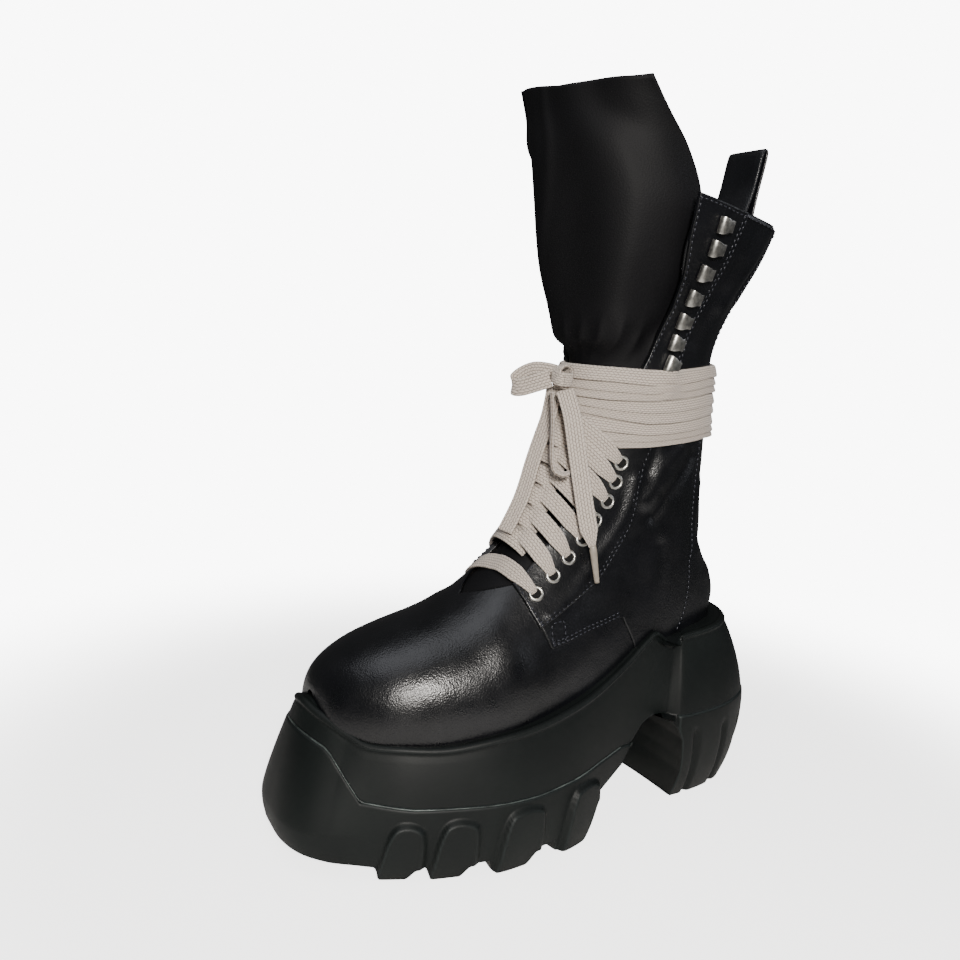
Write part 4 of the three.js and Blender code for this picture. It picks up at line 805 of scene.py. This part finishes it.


# Matt moulded rubber: green black, the faintest mould haze, and a painted highlight that lightens its convex
# edges.
rubber, tree, surface = new_material("moulded_black_rubber", Roughness=0.5, Specular_IOR_Level=0.25)
haze = object_noise(tree, 22.0, 5.0)
black = two_tone(tree, surface, haze, "#090d0d", "#101514", 0.3, 0.75)
# Convex edges, found by pointiness, are mixed toward a lighter grey: a painted highlight.
edges = {"Value": add(tree, "NewGeometry").outputs["Pointiness"], "From Min": 0.52, "From Max": 0.6}
edges = add(tree, "MapRange", edges).outputs[0]
edge_highlight_paint = add(tree, "Mix", {0: edges, 6: black, 7: linear("#2a3131")}, data_type="RGBA")
tree.links.new(edge_highlight_paint.outputs[2], surface.inputs["Base Color"])
embossed(tree, surface, object_noise(tree, 1 / (0.6 * MM)), 0.18, 0.0002)
dulled(tree, surface, haze, 0.44, 0.6)

ARCH_FROM, HEEL_FROM = 45, 68  # y where the arch takes over from the shield line, and the heel from the arch
rim_z, widest_y = outline[:, 2], outline[:, 4]
arch_line = line_on_wall(ARCH)
parting = np.where(widest_y < HEEL_FROM, arch_line, line_on_wall(HEEL_TOP))
parting = np.where(widest_y < ARCH_FROM, line_on_wall(SHIELD), parting)
parting = np.where((widest_y >= 38) & (widest_y <= 70), np.maximum(arch_line, 48), parting)
parting = smoothed(parting, 7)

RIM_ROLL, RIM_TALL = 1.7, 4.2  # radius of the rolled rim, and its height down to the plain wall
MIDSOLE_LIP = ((-14, 0.6, 1), (-7, 0.3, 0.8), (-4.5, 0.1, 0.3), (-3.2, 0.0, 0))  # inward, down, how level
MIDSOLE_CAP = 0.07
soft_rim = smoothed(rim_z, 41)
rows = [sole_wall(rim_z + (soft_rim - rim_z) * level - down, 0) + outward(inward)
        for inward, down, level in MIDSOLE_LIP]
rows += [sole_wall(rim_z + RIM_ROLL * (np.sin(turn) - 1), 0) + outward(RIM_ROLL * np.cos(turn) - 0.6)
         for turn in np.linspace(2.4, -1.1, 12)]
rows += [sole_wall(rim_z - RIM_TALL + (parting + 0.5 - rim_z + RIM_TALL) * share, 0.15 * min(share * 8, 1))
         for share in np.linspace(0, 1, 46)]
rows += [sole_wall(parting + 0.1, -0.4), sole_wall(parting, -3.0), sole_wall(parting, -9.0)]
midsole = skin("midsole", np.array(rows)[:, ::-1], merge=True)
facing_out(midsole, cap_under=MIDSOLE_CAP)
finish(midsole, rubber, nodes=["midsole"])

# Outsole: the same wall from the parting line to the floor, proud of the midsole by a bevelled step; the
# side lugs stand out of it and reach the floor, and the recesses between them stay clear of it.
WALL_PROUD, LUG_PROUD = 1.0, 3.8  # of the treaded wall, and of the lugs on it
LUG_LEAN, LUG_CURL = 2.5, 6.5  # how far a lug's front edge leans back, and curls back at its top
LUG_FRONT, LUG_BACK, LUG_CROWN = 2.0, 4.0, 3.6  # how wide its front, back and top edges are rounded


def lug_height(y, z, lugs):
    """0 to 1: a claw with a curved front edge and rounded top, dying into the wall behind."""
    high = np.zeros(np.broadcast(y, z).shape)
    for front, back, top in lugs:
        rise = np.clip(z / top, 0, 1)
        lean = front + LUG_LEAN * rise + LUG_CURL * rise ** 5
        ahead = soft_step((y - lean) / LUG_FRONT)
        behind = 1 - soft_step((y - (back + 5 - 3 * rise ** 4)) / LUG_BACK)
        crown = top - 3 * np.clip((y - (front + back) / 2 - 5) / (back - front) * 2, -1, 1) ** 2
        over = 1 - soft_step((z - crown + LUG_CROWN) / LUG_CROWN)
        high = np.maximum(high, ahead * behind * over * (1 - 0.25 * soft_step((y - front) / (back - front))))
    return high


def at_floor(y, lugs):
    """Height of the outsole's lower edge: nothing at a lug, 8 mm in a recess, the toe's spring in front."""
    spring = np.interp(y, [-200, -166, -150, -128, -4], [15, 11, 8, 6, 8])
    spring = np.maximum(spring, at_y(ARCH, y) * (y > -6))
    down = np.zeros_like(y)
    for front, back, _ in lugs:
        down = np.maximum(down, soft_step((y - front + 2.5) / 3.0) * (1 - soft_step((y - back + 3) / 6.5)))
    return spring * (1 - down)


outer_side = outline[:, 3] > np.interp(widest_y, [-170, 0, 170], [-14, 0, 0])
wall_y = sole_wall(np.full(len(outline), 20.0), 0)[:, 1]
top_z = np.where(wall_y < ARCH_FROM, line_on_wall(SHIELD) - 0.05, 48)
bottom = np.where(outer_side, at_floor(wall_y, LUGS_OUTER), at_floor(wall_y, LUGS_INNER))
bottom = np.minimum(bottom, top_z - 0.3)
rows = [sole_wall(top_z, -4.0), sole_wall(top_z, 0.2), sole_wall(top_z - 0.5, 0.75)]
for share in np.linspace(0, 1, 60):
    z = (top_z - 1.2) + (bottom + 1.2 - top_z + 1.2) * share
    y = sole_wall(z, 0)[:, 1]
    lug = LUG_PROUD * np.where(outer_side, lug_height(y, z, LUGS_OUTER), lug_height(y, z, LUGS_INNER))
    rows.append(sole_wall(z, WALL_PROUD + lug))
for inward, lift in ((0.2, 0.75), (-0.7, 0.15), (-2.2, 0.0), (-10, 0.0), (-20, 0.0), (-23.5, 0.6), (-25, 3)):
    rows.append(sole_wall(bottom + lift, WALL_PROUD + lug + inward))
inner_z = np.interp(wall_y, [-200, -166, -150, -125, -4], [15, 11.5, 9, 8, 8])
inner_z = np.where(wall_y < -4, inner_z, at_y(ARCH, wall_y))
rows.append(sole_wall(np.clip(inner_z, bottom, top_z), -26))
spine = rows[-1].copy()
spine[:, 0] = np.interp(spine[:, 1], [-166, 60], [-8, 0])
rows.append(spine)
OUTSOLE_END = 41  # y behind which only the waist and the heel go on
kept = np.where(wall_y < OUTSOLE_END)[0]
inner_cols = np.arange(kept[kept > SOLE_COLS // 2].min(), SOLE_COLS)
order = np.concatenate([inner_cols, np.arange(np.argmax(wall_y >= OUTSOLE_END))])
outsole = skin("outsole", np.array(rows)[:, order])
finish(outsole, rubber, nodes=["outsole"])

# Heel block: same wall behind the breast, with slanted flutes on its sides and a hollow front face.
HEEL_FLUTES = [[94, 9], [121, 9], [141, 7]]  # y at the floor, how far each leans forward at its top
HEEL_PROUD, FLUTE_WIDE, FLUTE_DEEP, FLUTE_TOP = 0.8, 2.2, 2.6, 54
HEEL_FOOT = ((0.0, -12), (0.0, -2.5), (0.35, -0.8))  # height and inward of the rings that round its lower edge
heel_cols = np.where(wall_y > 60)[0]


def crossed_at(points, past, i, j):
    """Where past changes sign between two neighbouring points."""
    return points[i] + (points[j] - points[i]) * past[i] / (past[i] - past[j])


def heel_ring(z, inward):
    """The heel at those heights, one for each outline column: its fluted wall, then its hollow front face."""
    wall = sole_wall(z, HEEL_PROUD + inward)
    groove = np.zeros(len(outline))
    for y0, lean in HEEL_FLUTES:
        near = (wall[:, 1] - (y0 - lean * z / 55 + 4)) / FLUTE_WIDE
        groove = np.maximum(groove, np.exp(-near ** 2) * soft_step((FLUTE_TOP - z) / 10))
    side = sole_wall(z, HEEL_PROUD + inward - FLUTE_DEEP * groove)[heel_cols]
    past = side[:, 1] - np.interp(z[heel_cols], *np.array(HEEL_BREAST).T) - 1.0
    first, last = np.where(past >= 0)[0][[0, -1]]
    loop = side[first:last + 1]
    if first > 0:
        loop = np.concatenate([[crossed_at(side, past, first - 1, first)], loop])
    if last + 1 < len(side):
        loop = np.concatenate([loop, [crossed_at(side, past, last + 1, last)]])
    run = lengths(loop)
    loop = along(loop, run, np.linspace(0, run[-1], 240))
    share = np.linspace(0, 1, 42)[1:]
    face = loop[-1] + (loop[0] - loop[-1]) * share[:, None]
    face[:, 1] += 4.0 * np.sin(np.pi * share) ** 0.6 * np.clip(1 - abs(np.mean(z) - 30) / 45, 0, 1)
    return np.concatenate([loop, face])


heel_top = line_on_wall(HEEL_TOP) - 0.1
rings = [heel_ring(np.full(len(outline), z), inward) for z, inward in HEEL_FOOT]
rings += [heel_ring(heel_top * share, 0) for share in np.linspace(0, 1, 46)]
heel = skin("heel", np.array(rings), merge=True, ends=True)
finish(heel, rubber, nodes=["heel"])

# A thin flash of rubber stands along the mould's parting line; its grey, far lighter than the rubber, is a
# painted highlight.
BEAD, BEAD_OUT = 0.34, 0.35
bead_highlight_paint, tree, surface = new_material("parting_bead_highlight_paint", Roughness=0.38)
# Grey well above the rubber's near black: a painted highlight along the bead.
two_tone(tree, surface, object_noise(tree, 90.0, 4.0), "#1c2222", "#59625f", 0.35, 0.7)
bead = np.array([sole_wall(parting + 0.1 + BEAD * np.sin(turn), BEAD_OUT + BEAD * np.cos(turn))
                 for turn in np.linspace(0, 2 * np.pi, 9)])
front_part = np.where(widest_y < 30)[0]
split = np.argmax(np.diff(front_part)) + 1
order = np.concatenate([front_part[split:], front_part[:split]])
finish(skin("parting_bead_painted_highlight", bead[:, order].transpose(1, 0, 2), merge=True, ends=True), bead_highlight_paint)

# ---- Eyelets and hooks ----
# Eight nickel-plated brass eyelets a side, rolled over the facing round a dark hole; seven folded nickel
# hooks a side above the wrapped lace, each riveted on by its base plate with its mouth away from the throat.
EYELETS, EYELET_FIRST, EYELET_STEP = 8, 9.42, 0.67
EYELET_TURN = {1: (0.73, 0.94), -1: (0.8, 1.0)}
HOOKS, HOOK_FIRST, HOOK_STEP, HOOK_CLOSING = 7, 18.32, 0.62, 0.0167
HOOK_TURN = {1: (1.42, 1.48), -1: (1.1, 1.16)}
HOOK_WIDE = 9.4
EYELET_UP, HOOK_UP = 1.05, 0.9  # heights of their undersides over the form

nickel, tree, surface = new_material("plated_nickel", Metallic=1.0, Roughness=0.34)
rubs = object_noise(tree, 420.0, 4.0)
two_tone(tree, surface, rubs, "#b4b3ad", "#dedcd5", 0.35, 0.7)
dulled(tree, surface, rubs, 0.26, 0.44)


def standing(t, turn, lift):
    """Centre and axes on the form: away from the throat, up along it and out of the leather."""
    t, turn = np.array([float(t)]), np.array([float(turn)])
    out = form_out(t, turn)[0]
    centre = leather_at(t, turn, np.array([lift]))[0]
    away = form(t, turn + np.sign(turn) * 0.05)[0] - form(t, turn)[0]
    away = unit(away - out * (away @ out))
    return centre, away, np.cross(out, away), out


def row_turn(ends, k, count, side):
    return side * (ends[side][0] + (ends[side][1] - ends[side][0]) * k / (count - 1))


def loose(piece):
    """The piece's mesh on its own, to be joined with others."""
    mesh = piece.data
    bpy.data.objects.remove(piece)
    return mesh


EYELET_SECTION = np.array([[2.75, -1.0], [2.8, 0.5], [3.05, 1.0], [3.5, 1.25], [4.0, 1.2], [4.45, 0.85],
                           [4.75, 0.3], [4.8, -0.2]])  # radius, height
HOLE_SECTION = np.array([[0.05, 0.12], [2.8, 0.12]])
around = np.linspace(0, 2 * np.pi, 29)[:, None]
# A flat near-black disc closes each eyelet's hole: painted shade inside the eyelet.
hole_shade_paint, tree, surface = new_material("eyelet_shadow", Roughness=1.0)
two_tone(tree, surface, object_noise(tree, 300.0), "#020202", "#080808")
for side, name in ((1, "outer"), (-1, "inner")):
    rings, holes = [], []
    for k in range(EYELETS):
        turn = row_turn(EYELET_TURN, k, EYELETS, side)
        centre, away, up, out = standing(EYELET_FIRST + EYELET_STEP * k, turn, EYELET_UP)
        spin = (np.cos(around) * away + np.sin(around) * up)[:, None]
        for section, kept, label in ((EYELET_SECTION, rings, "ring"), (HOLE_SECTION, holes, "hole")):
            points = centre + spin * section[None, :, :1] + out * section[None, :, 1:]
            kept.append(loose(skin(label, points, merge=True, flip=side > 0)))
    finish(joined("eyelets_" + name, rings), nickel,
           nodes=[f"eyelet_{name}_{k + 1}" for k in range(EYELETS)])
    finish(joined("eyelet_hole_shades_" + name, holes), hole_shade_paint)

HOOK_LINE = [[4.2, 0.2], [1.5, 0.2], [-1.8, 0.25], [-3.5, 0.8], [-4.2, 2.0], [-3.9, 3.3], [-2.8, 4.15],
             [-0.8, 4.45], [2.0, 4.1], [4.7, 3.3]]  # away from the throat, out of the leather
HOOK_SECTION = np.array([[-1, -.35], [-.96, .4], [-.5, .46], [0, .48], [.5, .46], [.96, .4], [1, -.35],
                         [.9, -.5], [0, -.5], [-.9, -.5], [-1, -.35]])  # share of the half width, millimetres
bent = even_line(np.array(HOOK_LINE), 0.6)
bow = np.abs(np.cos(np.pi * np.clip(np.linspace(0, 1, len(bent)) * 1.15, 0, 1))) ** 6
hook_half = HOOK_WIDE / 2 * (1 - 0.3 * bow)[:, None, None]
for side, name in ((1, "outer"), (-1, "inner")):
    plates = []
    for k in range(HOOKS):
        t = HOOK_FIRST + HOOK_STEP * k - HOOK_CLOSING * k * k
        centre, away, up, out = standing(t, row_turn(HOOK_TURN, k, HOOKS, side), HOOK_UP)
        line = centre + bent[:, :1] * away + bent[:, 1:] * out
        thick = np.cross(up, unit(np.gradient(line, axis=0)))
        points = line[:, None] + up * (HOOK_SECTION[:, :1] * hook_half) + thick[:, None] * HOOK_SECTION[:, 1:]
        plates.append(loose(skin("plate", points, merge=True, ends=True)))
    hooks = joined("hooks_" + name, plates)
    finish(hooks, nickel, nodes=[f"hook_{name}_{k + 1}" for k in range(HOOKS)])
    hooks.data.set_sharp_from_angle(angle=math.radians(50))

# ---- Crossed and wrapped lace ----
# The same lace, from the straight bar at the lowest eyelets up through seven crossings and four and a half
# turns round the ankle, each turn lapped a little under the one above, drawn into a small knot in front.
THROAT_TURN = 0.38
WRAP_LOW = 232  # height over which a crossing is hidden by the wrap


def crossing(k, side):
    """Up out of an eyelet's hole, over its rim, across the throat and down behind the far edge."""
    t0, turn0 = EYELET_FIRST + EYELET_STEP * k, row_turn(EYELET_TURN, k, EYELETS, side)
    if side > 0:  # over the inner strand's end, then under the next inner strand
        stops = [[0.0, -0.6, 0.0], [0.05, 2.0, 0.0], [0.14, 3.3, 0.02], [0.3, 4.2, 0.06], [0.4, 3.8, 0.1],
                 [0.5, 2.2, 0.14], [0.6, 0.8, 0.18], [0.75, 0.0, 0.26], [1.0, -1.4, 0.4]]
    else:  # over the ridge and down under the outer strand
        stops = [[0.0, -0.6, 0.0], [0.05, 2.0, 0.0], [0.14, 3.0, 0.0], [0.4, 3.2, -0.1], [0.65, 4.2, -0.22],
                 [0.78, 4.2, -0.24], [0.86, 3.0, -0.24], [0.93, 1.0, -0.22], [1.0, -1.4, -0.2]]
    line = even_line(np.array(stops), 0.02)
    t = t0 + EYELET_STEP * line[:, 2]
    turn = turn0 + (-side * THROAT_TURN - turn0) * line[:, 0]
    points = form(t, turn) + form_out(t, turn) * line[:, 1:2]
    return points, t, turn


def laid(name, points, out, wide):
    """A lace with its flat side lying along the leather."""
    return lace(name, points, unit(np.cross(out, unit(np.gradient(points, axis=0)))), wide)


crossed = []
for side in (-1, 1):
    for k in range(1, EYELETS):
        points, t, turn = crossing(k, side)
        if points[0, 2] > WRAP_LOW:
            continue
        run = lengths(points)
        stops = np.linspace(0, run[-1], int(run[-1]))
        t, turn = np.interp(stops, run, t), np.interp(stops, run, turn)
        wide = np.interp(stops, [0, 3, 11, 14], [4.4, 6.2, 9.6, 10.5])
        crossed.append(loose(laid("crossing", along(points, run, stops), form_out(t, turn), wide)))
finish(joined("crossed_laces", crossed), cotton, nodes=["lace_crossings"])

share = np.linspace(0, 1, 90)
turn = -EYELET_TURN[-1][0] + (EYELET_TURN[-1][0] + EYELET_TURN[1][0]) * share
t = EYELET_FIRST - 0.02 - 0.3 * (1 - share) - 0.12 * np.sin(np.pi * share)
lift = np.interp(share, [0, 0.04, 0.12, 0.5, 0.88, 0.96, 1], [-0.6, 1.4, 0.4, -2.6, 1.6, 2.0, -0.6])
wide = np.interp(share, [0, 0.06, 0.2, 0.8, 0.94, 1], [4.4, 6.5, 10.5, 10.5, 6.5, 4.4])
out = form_out(t, turn)
finish(laid("lowest_lace", form(t, turn) + out * lift[:, None], out, wide), cotton,
       nodes=["lace_bar"])

WRAP = [  # turn, then the heights of the turns' edges from the top down
    [0.0, 275.0, 266.5, 256.5, 249.0, 239.0, 228.0], [0.7, 275.0, 267.0, 256.3, 246.0, 238.0, 228.0],
    [1.2, 274.8, 266.0, 257.0, 243.7, 237.0, 229.8], [1.5, 275.5, 267.0, 258.5, 244.5, 238.0, 231.3],
    [2.1, 278.5, 272.0, 262.5, 248.5, 242.0, 235.0], [3.14, 280.0, 272.5, 263.0, 251.5, 243.5, 235.5],
    [4.2, 278.0, 270.0, 261.0, 250.5, 242.0, 233.5], [5.0, 276.0, 268.0, 258.0, 249.0, 240.0, 229.5],
    [5.8, 275.2, 267.0, 257.0, 249.0, 239.0, 228.2],
]
WRAP_OVER, WRAP_SWELL, WRAP_LAP = 3.0, 1.35, 2.0  # over the leather, its swell, how far each turn leans in
WIDEST_TURN = 10.6  # a gap between edges wider than this holds two turns
TOP_HOOKS, HOOK_LIFT = ((1.42, 0.13), (2 * np.pi - 1.1, 0.13)), 4.2  # the top turn rises over the lowest hooks
ankle = np.linspace(0, 2 * np.pi, 221)
levels = np.linspace(14.5, 20, 220)
heights = form(levels[:, None], ankle[None])[..., 2]
outs = form_out(levels[:, None], ankle[None])
closed = np.array(WRAP + [[2 * np.pi, *WRAP[0][1:]]])
edges = along(closed[:, 1:], closed[:, 0], ankle).T
x, z = braid_section(21, LACE_THICK, 0.18)
edge = (x + 1) / 2


def wrap_turn(high, low, rank):
    """One turn of the lace round the ankle between two edges, its upper edge tucked under the turn above."""
    rings = []
    for j, turn in enumerate(ankle):
        t = np.interp(low[j] - 0.5 + (high[j] - low[j] + 0.6) * edge, heights[:, j], levels)
        over_hook = sum(HOOK_LIFT * np.exp(-((turn - at) / wide) ** 2) for at, wide in TOP_HOOKS)
        lift = WRAP_OVER + WRAP_SWELL * z - WRAP_LAP * edge + 0.35 * np.sin(3 * turn + 5 * rank)
        lift = lift + over_hook * (high[j] > 262) * edge
        rings.append(form(t, np.full(len(t), turn)) + along(outs[:, j], levels, t) * lift[:, None])
    return loose(skin("turn", np.array(rings), edge * LACE_WIDE, merge=True))


bands = []
for rank, (high, low) in enumerate(zip(edges[:-1], edges[1:])):
    shares = ((0, 1),) if np.max(high - low) < WIDEST_TURN else ((0, 0.55), (0.5, 1))
    bands += [wrap_turn(high + (low - high) * a, high + (low - high) * b, rank) for a, b in shares]
wrap = joined("wrapped_laces", bands)
facing_out(wrap)
finish(wrap, cotton, nodes=["lace_wrap"])

KNOT = np.array([9.5, -6.5, 267])
KNOT_LACE = (8.0, 1.8)  # the lace drawn tight: width, thickness
KNOT_UPRIGHT = [[0, -4.6, 1], [0.3, -3.6, 5.0], [0.6, 0, 6.6], [0.4, 3.6, 4.5], [0, 4.2, -1], [-0.3, 2, -5.5],
                [-0.4, -2.5, -5.2]]
KNOT_LEVEL = [[5.6, -3.0, -1], [2.5, -5.2, -0.6], [-2.5, -4.6, 0.6], [-5.6, -1.2, 1.6], [-4.5, 2.8, 1],
              [0, 4.2, 0], [4.6, 2.6, -1]]
straps = []
for route, width in ((KNOT_UPRIGHT, (1, 0.1, 0.1)), (KNOT_LEVEL, (0.1, 0.1, 1))):
    line = even_line(KNOT + np.array(route), 0.8, closed=True)
    straps.append(loose(lace("strap", line, width, *KNOT_LACE, ends=False)))
finish(joined("knot", straps), cotton, nodes=["lace_knot"])

# ---- Zip ----
# A side zip up the inner ankle: woven black tape, two staggered rows of cast nickel teeth and a nickel
# slider whose tab hangs from its bridge.
ZIP_LINE = [[12.15, -1.72], [13.2, -1.66], [14.4, -1.6], [15.6, -1.56], [16.8, -1.54], [18, -1.54],
            [19.2, -1.56], [20.4, -1.6], [21.2, -1.62]]
ZIP_WIDE, ZIP_THICK = 15, 0.7
TOOTH_STEP, TOOTH_SIZE, TOOTH_ASIDE, TOOTH_UP = 2.1, (3.0, 0.85, 1.3), 0.95, 1.95

tape, tree, surface = new_material("woven_zip_tape", Roughness=0.9)
spot = add(tree, "SeparateXYZ", {0: add(tree, "UVMap").outputs[0]})
weft, warp = (maths(tree, "PINGPONG", maths(tree, "MULTIPLY", spot.outputs[axis], pitch), 0.5)
              for axis, pitch in (("X", 2.0), ("Y", 1.4)))
yarns = maths(tree, "MULTIPLY", weft, warp)
two_tone(tree, surface, yarns, "#08080a", "#1c1c20", 0.0, 0.22)
embossed(tree, surface, yarns, 0.5, 0.0003)

zip_at = even_line(np.array(ZIP_LINE), 0.06)
zip_out = form_out(zip_at[:, 0], zip_at[:, 1])
zip_points = form(zip_at[:, 0], zip_at[:, 1])
zip_side = np.cross(unit(np.gradient(zip_points, axis=0)), zip_out)
share = np.linspace(-1, 1, 25)
flat = 0.9 - 0.25 * share ** 2
tape_points = zip_points[:, None] + zip_side[:, None] * share[None, :, None] * ZIP_WIDE / 2 \
    + zip_out[:, None] * (0.7 + flat)[None, :, None]
zip_tape = skin("zip_tape", tape_points, flip=True)
finish(zip_tape, tape, nodes=["zip"])
walled(zip_tape, ZIP_THICK)

run = lengths(zip_points)
teeth = bmesh.new()
size = Matrix.Diagonal((*[side * MM for side in TOOTH_SIZE], 1))
for k, start in enumerate(np.arange(1.0, run[-1] - 4, TOOTH_STEP / 2)):
    side, out = unit(along(zip_side, run, start)), unit(along(zip_out, run, start))
    centre = along(zip_points, run, start) + side * (TOOTH_ASIDE if k % 2 else -TOOTH_ASIDE) + out * TOOTH_UP
    basis = Matrix(np.stack([side, np.cross(out, side), out], 1).tolist()).to_4x4()
    bmesh.ops.create_cube(teeth, size=1, matrix=Matrix.Translation(in_row(centre)) @ basis @ size)
bmesh.ops.bevel(teeth, geom=teeth.edges[:], offset=0.0002, segments=1, profile=0.5, affect="EDGES", material=-1)
finish(piece_of("zip_teeth", teeth, smooth=False), nickel)
dress("zip_slider", nickel)
dress("zip_pull", nickel)

# ---- Pull loop ----
# A 30 mm strap of the same calf, folded over the back of the collar and stitched down outside and inside.
LOOP_WIDE, LOOP_THICK, LOOP_TOP, LOOP_X, LOOP_CLEAR = 30, 2.2, 414, 3, 1.8
WALL = 2.2


def back_y(z):
    """The back of the shaft at a height near the collar."""
    return form(min(19 + (z - 283) / 30, TOP_STATION), np.pi)[1]


clear = LOOP_CLEAR + LOOP_THICK / 2
inside = WALL + clear + LOOP_CLEAR
edge = back_y(362)
loop_route = [[LOOP_X, y, z] for y, z in (
    (back_y(326) + clear, 326), (back_y(344) + clear, 344), (edge + clear, 362), (edge + 6.5, 384),
    (edge + 11.5, LOOP_TOP - 5), (edge + 10, LOOP_TOP - LOOP_THICK / 2), (edge + 7.6, LOOP_TOP - 5),
    (edge + 2.6, 386), (edge - inside, 360), (back_y(342) - inside, 342))]
line = even_line(np.array(loop_route), 1.2)
out = np.cross(unit(np.gradient(line, axis=0)), (1, 0, 0))
share = panel_stops(LOOP_WIDE, 18) * 2 - 1
x = np.concatenate([share, share[-2::-1]])
depth = np.clip(1 - np.abs(x) ** 24, 0, 1) ** 0.5 * LOOP_THICK / 2
depth[len(share):] *= -1
strap = line[:, None] + np.array([1, 0, 0]) * x[:, None] * LOOP_WIDE / 2 + out[:, None] * depth[:, None]
finish(skin("pull_loop", strap, merge=True, ends=True), calf, nodes=["pull_loop"])
